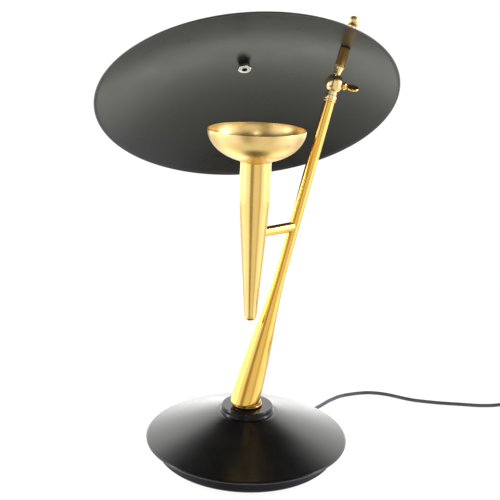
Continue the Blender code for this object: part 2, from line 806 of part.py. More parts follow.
relief_tip = OUT * RELIEF_TIP_S + Z * (CORD_EXIT_Z - RELIEF_DROP)
tip_slope = -2 * RELIEF_DROP / (RELIEF_TIP_S - PLINTH_R)
switch_mid = table(*SWITCH_AT, SWITCH_Z)
switch_in = switch_mid - ACROSS * (SWITCH_HALF + GAP)
switch_out = switch_mid + ACROSS * (SWITCH_HALF + GAP)
run_1 = [
    relief_tip + (OUT + Z * tip_slope) * GAP,
    relief_tip + OUT * 7 + Z * (tip_slope * 7 - 0.45),
    relief_tip + OUT * 15 + Z * (tip_slope * 15 - 1.6),
    table(84.5, 108.7, 2.6),
    table(93.8, 121.8),
    table(103.5, 134.2),
    table(119.8, 148.8),
    table(148.9, 159.8),
    table(173.0, 157.8),
    table(200.0, 145.2),
    table(213.7, 140.9),
    table(238.0, 136.8),
    table(264.0, 134.8),
    table(286.0, 132.6, 2.5),
    table(302.0, 130.2, 4.2),
    table(313.0, 128.4, 6.6),
    switch_in,
]
tube("cord_run_1", smooth_line(run_1, 9.5), CORD_R, "cord_sheath")
run_2 = [
    switch_out,
    table(386.5, 127.2, 6.9),
    table(395.0, 122.5, 4.8),
    table(400.6, 113.5, 3.2),
    table(402.6, 103.0, 2.6),
    table(402.4, 91.0, 2.8),
]
tube("cord_run_2", smooth_line(run_2, 6.5), CORD_R, "cord_sheath")

lathe(
    "cord_coil",
    [
        (COIL_IN_R, COIL_LOW),
        (COIL_OUT_R - 1.2, COIL_LOW),
        (COIL_OUT_R, COIL_LOW + 1.2),
        (COIL_OUT_R, COIL_HIGH - 1.2),
        (COIL_OUT_R - 1.2, COIL_HIGH),
        (COIL_IN_R, COIL_HIGH),
    ],
    "cord_sheath",
    n=32,
    at=table(*COIL_AT, 0),
)

# Strap round the coil's section
STRAP = 0.45
STRAP_HALF = 3.5
tie_dir = -ACROSS
tie_side = Z.cross(tie_dir)
loop = []
for grow in (GAP, GAP + STRAP):
    lo_r, hi_r, lo_z, hi_z = COIL_IN_R - grow - 0.8, COIL_OUT_R + grow, COIL_LOW - grow, COIL_HIGH + grow
    c = 1.0
    loop.append(
        [(lo_r, lo_z), (hi_r - c, lo_z), (hi_r, lo_z + c), (hi_r, hi_z - c), (hi_r - c, hi_z), (lo_r, hi_z)]
    )
coil_mid = table(*COIL_AT, 0)
rings = []
for (r0, z0), (r1, z1) in zip(*loop):
    a, b = coil_mid + tie_dir * r0 + Z * z0, coil_mid + tie_dir * r1 + Z * z1
    rings.append([a - tie_side * STRAP_HALF, a + tie_side * STRAP_HALF, b + tie_side * STRAP_HALF, b - tie_side * STRAP_HALF])
points, faces = loft(rings, closed=True)
finish("cord_tie", points, faces, "black_plastic")


def oval(centre, u, v, a, b, power, n=32):
    """A ring between an ellipse (power 2) and a rectangle (a high power)."""
    points = []
    for j in range(n):
        c, s = math.cos(2 * math.pi * j / n), math.sin(2 * math.pi * j / n)
        points.append(
            centre
            + u * (a * math.copysign(abs(c) ** (2 / power), c))
            + v * (b * math.copysign(abs(s) ** (2 / power), s))
        )
    return points


# In-line switch: two half shells and a rocker that pivots between them
switch_foot = table(*SWITCH_AT, 0)


def shell(name, sections):
    rings = [oval(switch_foot + Z * z, ACROSS, AWAY, a, b, 3.4, 28) for z, a, b in sections]
    points, faces = loft(rings, first=switch_foot + Z * sections[0][0], last=switch_foot + Z * sections[-1][0])
    return finish(name, points, faces, "black_plastic")


SPLIT_Z = SWITCH_Z
PIVOT_Z = 12.3
shell("switch_lower", [(0.25, 27.6, 12.0), (1.4, 28.8, 13.2), (SPLIT_Z - GAP / 2, SWITCH_HALF, 13.5)])
upper_shell = shell(
    "switch_upper",
    [(SPLIT_Z + GAP / 2, SWITCH_HALF, 13.5), (14.5, 28.6, 13.0), (16.8, 27.4, 11.8), (17.8, 25.6, 10.2)],
)
pivot = switch_foot + Z * PIVOT_Z
carve(upper_shell, block("cut_rocker_slot", pivot + Z * 2.2, ACROSS, (20.6, 9.8, 12.6)))
carve(upper_shell, rod_between("cut_rocker_pivot", pivot - AWAY * 6.4, pivot + AWAY * 6.4, 1.6, n=16))

ROCK = math.radians(7)
side = [(-6, -3), (6, -3), (9.5, 2), (9.3, 4.5), (8.9, 6.75), (0, 5.65), (-8.9, 6.75), (-9.3, 4.5), (-9.5, 2)]
rings = []
for half in (-4.5, 4.5):
    rings.append(
        [
            pivot
            + AWAY * half
            + ACROSS * (x * math.cos(ROCK) + h * math.sin(ROCK))
            + Z * (h * math.cos(ROCK) - x * math.sin(ROCK))
            for x, h in side
        ]
    )
points = rings[0] + rings[1]
n = len(side)
faces = [(i, (i + 1) % n, n + (i + 1) % n, n + i) for i in range(n)] + [tuple(range(n)), tuple(range(2 * n - 1, n - 1, -1))]
rocker = finish("switch_rocker", points, faces, "black_plastic", origin=pivot, smooth=25)
carve(rocker, rod_between("add_rocker_pivot", pivot - AWAY * 5.9, pivot + AWAY * 5.9, 1.2, n=16), "UNION")

# Two-pin plug beside the coil
plug_dir = (ACROSS * 0.06 - AWAY).normalized()
plug_side = Z.cross(plug_dir)
plug_start = table(*PLUG_AT, PLUG_Z)
sections = [
    (0, 3.2, 3.2, 2),
    (7, 4.6, 4.2, 2.1),
    (9.5, 8.0, 5.2, 2.3),
    (13, 12.2, 6.0, 2.6),
    (19, 15.6, 6.6, 3),
    (40, 17.65, 6.85, 3.6),
    (42.2, 17.5, 6.7, 3.6),
    (43, 16.6, 5.9, 3.4),
]
rings = [oval(plug_start + plug_dir * s, plug_side, Z, a, b, p, 20) for s, a, b, p in sections]
points, faces = loft(rings, first=plug_start, last=plug_start + plug_dir * 43)
plug = finish("plug_body", points, faces, "black_plastic")
for i, way in ((1, -1), (2, 1)):
    foot = plug_start + plug_side * (9.3 * way)
    carve(plug, rod_between(f"cut_pin_{i}", foot + plug_dir * 36, foot + plug_dir * 46, 2.35))
    lathe(
        f"plug_pin_{i}",
        [(0, 36.4), (2.0, 36.4), (2.0, 60.6), (1.5, 61.8), (0, 62.2)],
        "steel",
        n=16,
        at=foot,
        axis=plug_dir,
    )
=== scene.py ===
import math

import bmesh
import bpy
from mathutils import Matrix, Vector


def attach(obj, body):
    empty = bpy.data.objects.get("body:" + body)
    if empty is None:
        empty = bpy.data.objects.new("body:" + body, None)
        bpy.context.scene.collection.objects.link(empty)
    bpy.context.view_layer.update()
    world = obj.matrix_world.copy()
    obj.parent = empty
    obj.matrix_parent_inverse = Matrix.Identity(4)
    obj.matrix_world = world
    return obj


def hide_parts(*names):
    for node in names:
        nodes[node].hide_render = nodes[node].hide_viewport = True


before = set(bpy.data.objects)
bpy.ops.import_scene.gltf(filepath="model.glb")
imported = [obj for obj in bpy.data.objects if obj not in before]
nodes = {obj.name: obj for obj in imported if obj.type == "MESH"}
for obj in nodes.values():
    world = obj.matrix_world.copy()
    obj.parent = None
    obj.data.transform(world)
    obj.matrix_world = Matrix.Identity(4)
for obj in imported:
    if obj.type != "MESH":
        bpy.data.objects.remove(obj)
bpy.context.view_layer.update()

MM = 0.001
X, Y, Z = Vector((1, 0, 0)), Vector((0, 1, 0)), Vector((0, 0, 1))

# Sizes, in mm like everything below

BASE_RIM_R, BASE_RIM_Z = 109.3, 18.6
PLINTH_R = 96.5
COVER_TOP_Z, COVER_FLAT_R = 47.8, 30.5
SHEET = 1.4
COLLAR_R, COLLAR_TOP_Z = 28.0, 54.5
FOOT_RING_R, FOOT_Z = 16.4, 59.6
GAP = 0.3

LEAN = math.radians(18.3)
LEAN_FROM_Z = 71.0
TUBE_R, TUBE_WALL = 6.0, 1.3
SWIVEL_Z = 396.3
BAR_Z, BAR_R, BAR_BORE_R = 246.0, 5.4, 3.6
TORCH_R, TORCH_TIP_Z, TORCH_JOIN_Z, TORCH_TAPER_TOP_Z, TORCH_TOP_Z = 16.0, 151.0, 156.8, 280.0, 322.0
BOWL_R, BOWL_RIM_Z, BOWL_DEPTH = 50.3, 355.0, 33.7

BALL_R = 10.0
SWIVEL_TURN = math.radians(36.8)
ROD_TILT = math.radians(12.8)
ROD_R = 5.5
HOLE_S = 41.5
DISH_R, DISH_DEPTH, DISH_THICK = 168.6, 54.6, 1.0
DISH_HOLE_ANGLE = math.radians(25.1)
DISH_TURN = math.radians(-113.3)
FINIAL_S, FINIAL_R = 72.9, 7.0

FRONT = math.radians(48.6)
CORD_R = 2.2
CORD_EXIT_AZ = math.radians(100.9)
CORD_EXIT_Z = 9.0
RELIEF_TIP_S, RELIEF_DROP = 116.4, 1.8
COIL_AT = (366.0, 72.0)
COIL_IN_R, COIL_OUT_R = 14.8, 37.4
COIL_LOW, COIL_HIGH = 0.9, 10.0
SWITCH_AT, SWITCH_HALF, SWITCH_Z = (350.0, 128.0), 29.0, 7.5
PLUG_AT, PLUG_Z = (403.4, 51.0), 7.3


def turned(v, axis, angle):
    return Matrix.Rotation(angle, 3, axis) @ v


ARM_DIR = Vector((0, math.sin(LEAN), math.cos(LEAN)))
SWIVEL = Vector((0, (SWIVEL_Z - LEAN_FROM_Z) * math.tan(LEAN), SWIVEL_Z))
HINGE = turned(X, ARM_DIR, SWIVEL_TURN)
ROD_DIR = turned(ARM_DIR, HINGE, -ROD_TILT)
DOME_R = (DISH_R**2 + DISH_DEPTH**2) / (2 * DISH_DEPTH)
DOME_C = SWIVEL + ROD_DIR * (HOLE_S - DOME_R)
DISH_UP = turned(turned(ROD_DIR, HINGE, DISH_HOLE_ANGLE), ROD_DIR, DISH_TURN)
HOLE = SWIVEL + ROD_DIR * HOLE_S
APEX = DOME_C + DISH_UP * DOME_R
OUT = Vector((math.cos(CORD_EXIT_AZ), math.sin(CORD_EXIT_AZ), 0))
ACROSS = Vector((math.cos(FRONT), math.sin(FRONT), 0))
AWAY = Z.cross(ACROSS)


def table(across, away, z=CORD_R + 0.05):
    return ACROSS * across + AWAY * away + Z * z


# Camera, at the photograph's viewpoint

right = Vector((0.6613, 0.7501, 0)).normalized()
pitch, roll = math.radians(15.5), math.radians(2.0)
ahead = Vector((-0.7501, 0.6613, 0)).normalized() * math.cos(pitch) - Z * math.sin(pitch)
above = right.cross(ahead)
cam_x = right * math.cos(roll) + above * math.sin(roll)
cam_y = above * math.cos(roll) - right * math.sin(roll)
cam_data = bpy.data.cameras.new("camera")
cam_data.sensor_width = 36
cam_data.lens = 959 / 500 * 36
cam_data.clip_start = 0.02
cam = bpy.data.objects.new("camera", cam_data)
bpy.context.scene.collection.objects.link(cam)
m = Matrix((cam_x, cam_y, -ahead)).transposed().to_4x4()
m.translation = Vector((0.7201, -0.6386, 0.4955))
cam.matrix_world = m
bpy.context.scene.camera = cam


def across(axis):
    axis = Vector(axis).normalized()
    u = X - axis * axis.dot(X) if abs(axis.x) < 0.9 else Y - axis * axis.dot(Y)
    u.normalize()
    return u, axis.cross(u)


def frame_at(at, axis, u=None):
    """A piece's own frame: origin in mm, local Z along axis."""
    w = Vector(axis).normalized()
    if u is None:
        u, v = across(w)
    else:
        u = (Vector(u) - w * w.dot(Vector(u))).normalized()
        v = w.cross(u)
    f = Matrix((u, v, w)).transposed().to_4x4()
    f.translation = Vector(at) * MM
    return f


# Materials: every one is made from nodes. Object coordinates run in metres in each piece's own frame, with local Z along its axis.


class Graph:
    def __init__(self, name, colour, metallic, rough, own=None):
        self.mat = bpy.data.materials.new(name)
        self.mat.use_nodes = True
        self.tree = self.mat.node_tree
        self.shader = self.tree.nodes["Principled BSDF"]
        self.set("Base Color", (*colour, 1))
        self.set("Metallic", metallic)
        self.set("Roughness", rough)
        self.mat.diffuse_color = (*colour, 1)
        coord = self.tree.nodes.new("ShaderNodeTexCoord")
        where = coord.outputs["Object"]
        if own is not None:
            from_origin = self.vector("SUBTRACT", where, tuple(own.translation))
            where = self.join(*(self.vector("DOT_PRODUCT", from_origin, tuple(own.col[i].xyz)) for i in range(3)))
        self.mm = self.vector("SCALE", where, scale=1000.0)

    def set(self, name, value):
        self.shader.inputs[name].default_value = value

    def plug(self, socket, value):
        if isinstance(value, bpy.types.NodeSocket):
            self.tree.links.new(value, socket)
        else:
            socket.default_value = value

    def vector(self, how, a, b=None, scale=None):
        n = self.tree.nodes.new("ShaderNodeVectorMath")
        n.operation = how
        self.plug(n.inputs[0], a)
        if b is not None:
            self.plug(n.inputs[1], b)
        if scale is not None:
            self.plug(n.inputs["Scale"], scale)
        return n.outputs["Value"] if how in ("LENGTH", "DOT_PRODUCT", "DISTANCE") else n.outputs["Vector"]

    def math(self, how, a, b=0.0, c=0.0, clamp=False):
        n = self.tree.nodes.new("ShaderNodeMath")
        n.operation = how
        n.use_clamp = clamp
        for i, value in enumerate((a, b, c)):
            self.plug(n.inputs[i], value)
        return n.outputs[0]

    def split(self, v):
        n = self.tree.nodes.new("ShaderNodeSeparateXYZ")
        self.plug(n.inputs[0], v)
        return n.outputs

    def join(self, x, y, z):
        n = self.tree.nodes.new("ShaderNodeCombineXYZ")
        for i, value in enumerate((x, y, z)):
            self.plug(n.inputs[i], value)
        return n.outputs[0]

    def noise(self, where, scale, detail=2.0, rough=0.5, w=None, distortion=0.0):
        n = self.tree.nodes.new("ShaderNodeTexNoise")
        if w is not None:
            n.noise_dimensions = "4D"
            self.plug(n.inputs["W"], w)
        self.plug(n.inputs["Vector"], where)
        self.plug(n.inputs["Scale"], scale)
        self.plug(n.inputs["Detail"], detail)
        self.plug(n.inputs["Roughness"], rough)
        self.plug(n.inputs["Distortion"], distortion)
        return n.outputs[0]

    def cells(self, where, scale, feature="F1", out="Distance"):
        n = self.tree.nodes.new("ShaderNodeTexVoronoi")
        n.feature = feature
        self.plug(n.inputs["Vector"], where)
        self.plug(n.inputs["Scale"], scale)
        return n.outputs[out]

    def remap(self, value, a, b, c, d):
        n = self.tree.nodes.new("ShaderNodeMapRange")
        self.plug(n.inputs["Value"], value)
        for key, v in zip(("From Min", "From Max", "To Min", "To Max"), (a, b, c, d)):
            n.inputs[key].default_value = v
        return n.outputs[0]

    def mix(self, factor, a, b):
        n = self.tree.nodes.new("ShaderNodeMix")
        n.data_type = "RGBA"
        self.plug(n.inputs[0], factor)
        for i, value in ((6, a), (7, b)):
            self.plug(n.inputs[i], (*value, 1) if isinstance(value, tuple) else value)
        return n.outputs[2]

    def bump(self, height, strength, distance, after=None):
        n = self.tree.nodes.new("ShaderNodeBump")
        n.inputs["Strength"].default_value = strength
        n.inputs["Distance"].default_value = distance * MM
        self.plug(n.inputs["Height"], height)
        if after is not None:
            self.plug(n.inputs["Normal"], after)
        return n.outputs[0]

    def use(self, name, value):
        self.plug(self.shader.inputs[name], value)

    def polar(self):
        """Distance from the piece's axis, height along it, and the direction round it, in mm."""
        x, y, z = self.split(self.mm)
        flat = self.join(x, y, 0.0)
        return self.vector("LENGTH", flat), z, self.vector("NORMALIZE", flat)


def brass(name, colour, deep, rough, kind, fine=1.0, coat=0.6, streaks=0.10):
    """Lacquered brass. kind is round for turned and spun pieces, long for tubes drawn and brushed along their length."""
    g = Graph(name, colour, 1.0, rough)
    r, z, way = g.polar()
    wx, wy, _ = g.split(way)
    if kind == "round":
        where = g.join(g.math("MULTIPLY", r, 3.2 * fine), g.math("MULTIPLY", z, 3.2 * fine), g.math("MULTIPLY", wx, 1.6))
        line = g.noise(where, 1.0, 4.0, 0.62, w=g.math("MULTIPLY", wy, 1.6))
    else:
        where = g.join(g.math("MULTIPLY", wx, 34.0 * fine), g.math("MULTIPLY", wy, 34.0 * fine), g.math("MULTIPLY", z, 0.07))
        line = g.noise(where, 1.0, 4.0, 0.62)
    cloud = g.noise(g.mm, 0.045, 3.0, 0.55)
    speck = g.noise(g.mm, 1.7, 2.0, 0.5)
    blot = g.noise(g.mm, 0.16, 4.0, 0.6)
    tint = g.math("ADD", g.math("MULTIPLY", g.remap(line, 0.3, 0.7, 0.0, 1.0), streaks * 2.2), g.math("MULTIPLY", g.remap(cloud, 0.35, 0.65, 0.0, 1.0), 0.5), clamp=True)
    g.use("Base Color", g.mix(tint, colour, deep))
    wear = g.math("ADD", g.remap(line, 0.3, 0.7, rough - streaks * 0.35, rough + streaks * 0.55), g.remap(blot, 0.4, 0.68, -0.012, 0.03))
    g.use("Roughness", g.math("MAXIMUM", g.math("ADD", wear, g.remap(speck, 0.45, 0.7, 0.0, 0.02)), 0.03))
    g.use("Normal", g.bump(blot, 0.04, 0.2, g.bump(line, 0.2 + streaks, 0.006)))
    g.set("Coat Weight", coat)
    g.set("Coat Roughness", 0.06)
    g.set("Coat IOR", 1.45)
    return g.mat


def paint(name, colour, worn, rough, peel, spun=0.0, coat=0.0, own=None, spec=0.5):
    """Sprayed enamel: a faint orange peel, a few settled specks of dust, and slightly duller clouds where it is handled."""
    g = Graph(name, colour, 0.0, rough, own)
    skin = g.noise(g.mm, 0.85, 3.0, 0.5)
    cloud = g.noise(g.mm, 0.022, 4.0, 0.6)
    fine = g.noise(g.mm, 6.0, 2.0, 0.6)
    dust = g.remap(g.cells(g.mm, 0.11), 0.035, 0.02, 0.0, 1.0)
    shade = g.math("ADD", g.math("MULTIPLY", g.remap(cloud, 0.35, 0.65, 0.0, 1.0), 0.7), g.math("MULTIPLY", g.remap(fine, 0.3, 0.7, 0.0, 1.0), 0.3), clamp=True)
    g.use("Base Color", g.mix(shade, colour, worn))
    g.use("Roughness", g.math("ADD", g.remap(cloud, 0.35, 0.65, rough - 0.03, rough + 0.04), g.math("ADD", g.remap(fine, 0.3, 0.7, -0.015, 0.02), g.math("MULTIPLY", dust, 0.08))))
    height = g.math("ADD", g.math("MULTIPLY", skin, 1.0), g.math("MULTIPLY", dust, 0.5))
    normal = g.bump(height, peel, 0.05)
    if spun:
        r, z, way = g.polar()
        wx, wy, _ = g.split(way)
        where = g.join(g.math("MULTIPLY", r, 0.5), g.math("MULTIPLY", z, 0.5), g.math("MULTIPLY", wx, 0.8))
        normal = g.bump(g.noise(where, 1.0, 3.0, 0.55, w=g.math("MULTIPLY", wy, 0.8)), spun, 0.12, normal)
    g.use("Normal", normal)
    g.set("Specular IOR Level", spec)
    if coat:
        g.set("Coat Weight", coat)
        g.set("Coat Roughness", 0.12)
    return g.mat


def machined(name, colour, deep, rough, fine=1.0):
    g = Graph(name, colour, 1.0, rough)
    r, z, way = g.polar()
    wx, wy, _ = g.split(way)
    line = g.noise(g.join(g.math("MULTIPLY", r, 5.0 * fine), g.math("MULTIPLY", z, 5.0 * fine), g.math("MULTIPLY", wx, 1.2)), 1.0, 3.0, 0.6, w=g.math("MULTIPLY", wy, 1.2))
    cloud = g.noise(g.mm, 0.3, 4.0, 0.6)
    g.use("Base Color", g.mix(g.remap(cloud, 0.35, 0.68, 0.0, 1.0), colour, deep))
    g.use("Roughness", g.math("ADD", g.remap(line, 0.3, 0.7, rough - 0.05, rough + 0.08), g.remap(cloud, 0.4, 0.7, 0.0, 0.05)))
    g.use("Normal", g.bump(line, 0.2, 0.03))
    return g.mat


def moulded(name, colour, worn, rough, grain, size=2.4, sheen=0.0, spec=0.5):
    """Moulded plastic, rubber or fired ceramic, by its colours and grain."""
    g = Graph(name, colour, 0.0, rough)
    skin = g.noise(g.mm, size, 3.0, 0.6)
    cloud = g.noise(g.mm, 0.08, 3.0, 0.6)
    g.use("Base Color", g.mix(g.math("ADD", g.remap(cloud, 0.35, 0.65, 0.0, 0.7), g.remap(skin, 0.4, 0.7, 0.0, 0.3), clamp=True), colour, worn))
    g.use("Roughness", g.math("ADD", g.remap(skin, 0.3, 0.7, rough - 0.05, rough + 0.05), g.remap(cloud, 0.4, 0.65, -0.02, 0.04)))
    g.use("Normal", g.bump(skin, grain, 0.06))
    g.set("Specular IOR Level", spec)
    if sheen:
        g.set("Sheen Weight", sheen)
        g.set("Sheen Roughness", 0.5)
    return g.mat


def cast(name):
    g = Graph(name, (0.09, 0.088, 0.085), 0.7, 0.65)
    sand = g.noise(g.mm, 0.9, 6.0, 0.7)
    rust = g.noise(g.mm, 0.07, 5.0, 0.65)
    g.use("Base Color", g.mix(g.remap(rust, 0.48, 0.7, 0.0, 1.0), (0.085, 0.083, 0.08), (0.15, 0.085, 0.05)))
    g.use("Roughness", g.remap(sand, 0.3, 0.7, 0.55, 0.85))
    g.use("Normal", g.bump(sand, 0.6, 0.35))
    return g.mat


def felted(name):
    g = Graph(name, (0.028, 0.028, 0.029), 0.0, 0.95)
    fibre = g.noise(g.vector("MULTIPLY", g.mm, (1.0, 6.0, 3.0)), 0.9, 4.0, 0.7, distortion=2.5)
    other = g.noise(g.vector("MULTIPLY", g.mm, (6.0, 1.0, 3.0)), 0.9, 4.0, 0.7, distortion=2.5)
    both = g.math("ADD", g.math("MULTIPLY", fibre, 0.5), g.math("MULTIPLY", other, 0.5))
    g.use("Base Color", g.mix(g.remap(both, 0.35, 0.65, 0.0, 1.0), (0.018, 0.018, 0.019), (0.06, 0.06, 0.062)))
    g.use("Roughness", g.remap(both, 0.3, 0.7, 0.88, 1.0))
    g.use("Normal", g.bump(both, 0.8, 0.3))
    g.set("Sheen Weight", 0.35)
    g.set("Sheen Roughness", 0.6)
    return g.mat


def clear(name):
    g = Graph(name, (0.98, 0.985, 0.985), 0.0, 0.02)
    swirl = g.noise(g.mm, 0.25, 3.0, 0.55)
    g.use("Base Color", g.mix(swirl, (0.985, 0.99, 0.99), (0.95, 0.96, 0.965)))
    g.use("Roughness", g.remap(swirl, 0.3, 0.7, 0.0, 0.035))
    g.use("Normal", g.bump(swirl, 0.05, 0.15))
    g.set("Transmission Weight", 1.0)
    g.set("IOR", 1.46)
    return g.mat


def sheath(name):
    """Smooth round flex: a fine grain in its skin and a little bloom in lighter clouds."""
    g = Graph(name, (0.05, 0.05, 0.052), 0.0, 0.38)
    cloud = g.noise(g.mm, 0.06, 4.0, 0.6)
    skin = g.noise(g.mm, 3.0, 3.0, 0.6)
    g.use("Base Color", g.mix(g.remap(cloud, 0.35, 0.65, 0.0, 1.0), (0.045, 0.045, 0.047), (0.085, 0.085, 0.085)))
    g.use("Roughness", g.math("ADD", g.remap(skin, 0.3, 0.7, 0.32, 0.44), g.remap(cloud, 0.4, 0.65, 0.0, 0.08)))
    g.use("Normal", g.bump(skin, 0.12, 0.05))
    return g.mat


BRASS, BRASS_DEEP = (0.86, 0.53, 0.10), (0.80, 0.46, 0.07)
SATIN, SATIN_DEEP = (0.87, 0.60, 0.18), (0.82, 0.54, 0.145)
PALE, PALE_DEEP = (0.845, 0.605, 0.23), (0.79, 0.55, 0.19)
LOOKS = {
    "polished_brass": brass("polished_brass_tube", BRASS, BRASS_DEEP, 0.155, "long", 0.6, streaks=0.04),
    "polished_brass_turned": brass("polished_brass_turned", BRASS, BRASS_DEEP, 0.10, "round", 1.4, streaks=0.05),
    # Paler brass for the ball joint: its lighter, less orange base colour stands in for the joint's cream highlights, a
    # painted highlight.
    "joint_brass": brass("joint_brass_turned", (0.88, 0.66, 0.29), (0.83, 0.59, 0.23), 0.22, "round", 1.4, streaks=0.05),
    "rod_brass": brass("rod_brass_drawn", (0.84, 0.50, 0.14), (0.78, 0.43, 0.10), 0.3, "long", 0.6, coat=0.3, streaks=0.04),
    # Brass for the ring under the arm's foot: its base colour is darkened well below the other brass to paint the dark
    # reflection of the black collar and dim its highlight, painted shade.
    "shade_darkened_brass_turned": brass("shade_darkened_brass_turned", (0.34, 0.185, 0.03), (0.27, 0.14, 0.02), 0.2, "round", 1.4, streaks=0.05),
    # Paler, duller brass for the finial: its lighter base colour stands in for light from above that the studio lacks,
    # a painted highlight.
    "finial_brass": brass("finial_brass_turned", (0.90, 0.68, 0.31), (0.85, 0.60, 0.24), 0.36, "round", 1.4, streaks=0.05),
    "satin_brass": brass("satin_brass_tube", SATIN, SATIN_DEEP, 0.15, "long", 1.0, coat=0.35, streaks=0.08),
    "satin_brass_spun": brass("satin_brass_spun", PALE, PALE_DEEP, 0.29, "round", 1.0, coat=0.35, streaks=0.09),
    "black_paint": paint("black_enamel", (0.0035, 0.0034, 0.0032), (0.0055, 0.0054, 0.005), 0.2, 0.05),
    "collar_paint": paint("collar_enamel", (0.0035, 0.0036, 0.0036), (0.0055, 0.0056, 0.0056), 0.2, 0.03, spec=0.3),
    "plinth_paint": paint("plinth_enamel", (0.004, 0.004, 0.0036), (0.006, 0.006, 0.0054), 0.42, 0.06, spec=0.2),
    "dish_paint": paint("charcoal_enamel", (0.0155, 0.016, 0.013), (0.019, 0.0195, 0.016), 0.3, 0.05, spun=0.03, own=frame_at(DOME_C, DISH_UP)),
    "steel": machined("zinc_steel", (0.62, 0.62, 0.60), (0.46, 0.455, 0.44), 0.24),
    "nickel": machined("bright_nickel", (0.74, 0.72, 0.68), (0.62, 0.60, 0.56), 0.14),
    "cast_iron": cast("cast_iron"),
    "felt": felted("pressed_felt"),
    "black_rubber": moulded("soft_black_rubber", (0.028, 0.028, 0.028), (0.045, 0.045, 0.045), 0.52, 0.25, 3.0, spec=0.4),
    "black_plastic": moulded("moulded_black_plastic", (0.022, 0.022, 0.022), (0.03, 0.03, 0.03), 0.33, 0.14, 2.2),
    "white_plastic": moulded("moulded_white_plastic", (0.78, 0.78, 0.74), (0.70, 0.69, 0.64), 0.4, 0.12, 2.0),
    "ceramic": moulded("unglazed_ceramic", (0.82, 0.80, 0.74), (0.74, 0.71, 0.64), 0.55, 0.3, 1.6),
    "clear_glass": clear("lamp_glass"),
    "cord_sheath": sheath("cord_sheath"),
    "brown_wire": moulded("brown_insulation", (0.22, 0.10, 0.04), (0.28, 0.14, 0.06), 0.45, 0.1),
    "blue_wire": moulded("blue_insulation", (0.04, 0.13, 0.42), (0.06, 0.17, 0.5), 0.45, 0.1),
    "strap": moulded("woven_strap", (0.03, 0.03, 0.031), (0.05, 0.05, 0.052), 0.85, 0.7, 1.4, sheen=0.3),
    "mark": moulded("switch_mark", (0.75, 0.75, 0.72), (0.66, 0.66, 0.63), 0.5, 0.1),
    "tungsten": machined("tungsten", (0.5, 0.49, 0.47), (0.4, 0.39, 0.37), 0.35),
}


# Building blocks


WORLD = Matrix.Identity(4)


def solid(name, points, faces, look, where=WORLD, local=False, sharp=32, weighted=True):
    """A closed mesh. Points are in mm, in the row's frame, or in the piece's own frame where local is true."""
    back = WORLD if local else where.inverted()
    mesh = bpy.data.meshes.new(name)
    mesh.from_pydata([back @ (Vector(p) * MM) for p in points], [], faces)
    bm = bmesh.new()
    bm.from_mesh(mesh)
    bmesh.ops.recalc_face_normals(bm, faces=bm.faces)
    if bm.calc_volume(signed=True) < 0:
        bmesh.ops.reverse_faces(bm, faces=bm.faces)
    bm.to_mesh(mesh)
    bm.free()
    obj = bpy.data.objects.new(name, mesh)
    bpy.context.scene.collection.objects.link(obj)
    obj.matrix_world = where
    obj["sharp"] = sharp
    obj["weighted"] = weighted
    if look:
        mesh.materials.append(LOOKS[look])
    return obj


def carve(obj, tool, how="DIFFERENCE"):
    """Cuts or joins at once, and the tool goes."""
    mod = obj.modifiers.new("cut", "BOOLEAN")
    mod.operation = how
    mod.solver = "EXACT"
    mod.object = tool
    graph = bpy.context.evaluated_depsgraph_get()
    mesh = bpy.data.meshes.new_from_object(obj.evaluated_get(graph), depsgraph=graph)
    obj.modifiers.clear()
    old, obj.data = obj.data, mesh
    bpy.data.meshes.remove(old)
    mesh.name = obj.name
    bpy.data.objects.remove(tool, do_unlink=True)
    return obj


def done(obj, body, *replaced):
    """Smooth shading with true edges, and the body that the piece rides on."""
    if obj.type == "MESH":
        obj.data.shade_smooth()
        obj.data.set_sharp_from_angle(angle=math.radians(obj.get("sharp", 32)))
        if obj.get("weighted"):
            w = obj.modifiers.new("normals", "WEIGHTED_NORMAL")
            w.keep_sharp = True
            w.weight = 60
        for key in ("sharp", "weighted"):
            if key in obj:
                del obj[key]
    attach(obj, body)
    if replaced:
        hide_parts(*replaced)
    return obj


def loft(rings, closed=False, first=None, last=None):
    n = len(rings[0])
    points = [p for ring in rings for p in ring]
    faces = []
    count = len(rings)
    for i in range(count if closed else count - 1):
        a, b = i * n, ((i + 1) % count) * n
        for j in range(n):
            k = (j + 1) % n
            faces.append((a + j, a + k, b + k, b + j))
    for tip, start in ((first, 0), (last, (count - 1) * n)):
        if tip is not None:
            points.append(tip)
            at = len(points) - 1
            faces += [(at, start + j, start + (j + 1) % n) for j in range(n)]
    return points, faces


def circle(centre, u, v, ru, rv, n):
    return [Vector(centre) + u * (ru * math.cos(2 * math.pi * j / n)) + v * (rv * math.sin(2 * math.pi * j / n)) for j in range(n)]


def eased(profile, radius=0.4, closed=None, least=14, step=15):
    """Rounds each corner of a (radius, height) outline with an arc. radius is one number, or a dictionary by corner with its default under None."""
    pts = [Vector(p) for p in profile]
    n = len(pts)
    if closed is None:
        closed = not (abs(pts[0].x) < 1e-9 or abs(pts[-1].x) < 1e-9)
    out = []
    for i, p in enumerate(pts):
        if not closed and i in (0, n - 1):
            out.append(p)
            continue
        a, b = pts[i - 1], pts[(i + 1) % n]
        din, dout = p - a, b - p
        if din.length < 1e-6 or dout.length < 1e-6:
            out.append(p)
            continue
        turn = din.angle(dout)
        want = radius.get(i, radius.get(None, 0.4)) if isinstance(radius, dict) else radius
        if math.degrees(turn) < least or want <= 0:
            out.append(p)
            continue
        reach = min(want * math.tan(turn / 2), 0.46 * din.length, 0.46 * dout.length)
        p0, p1 = p - din.normalized() * reach, p + dout.normalized() * reach
        steps = max(2, round(math.degrees(turn) / step))
        r = reach / math.tan(turn / 2)
        for k in range(steps + 1):
            t = k / steps
            # the arc's own angle, measured from its middle
            ang = turn * (t - 0.5)
            mid = ((p0 - p).normalized() + (p1 - p).normalized()).normalized()
            centre = p + mid * (r / math.cos(turn / 2))
            side = (p1 - p0).normalized()
            out.append(centre - mid * (r * math.cos(ang)) + side * (r * math.sin(ang)))
    return [(max(0.0, q.x), q.y) for q in out]


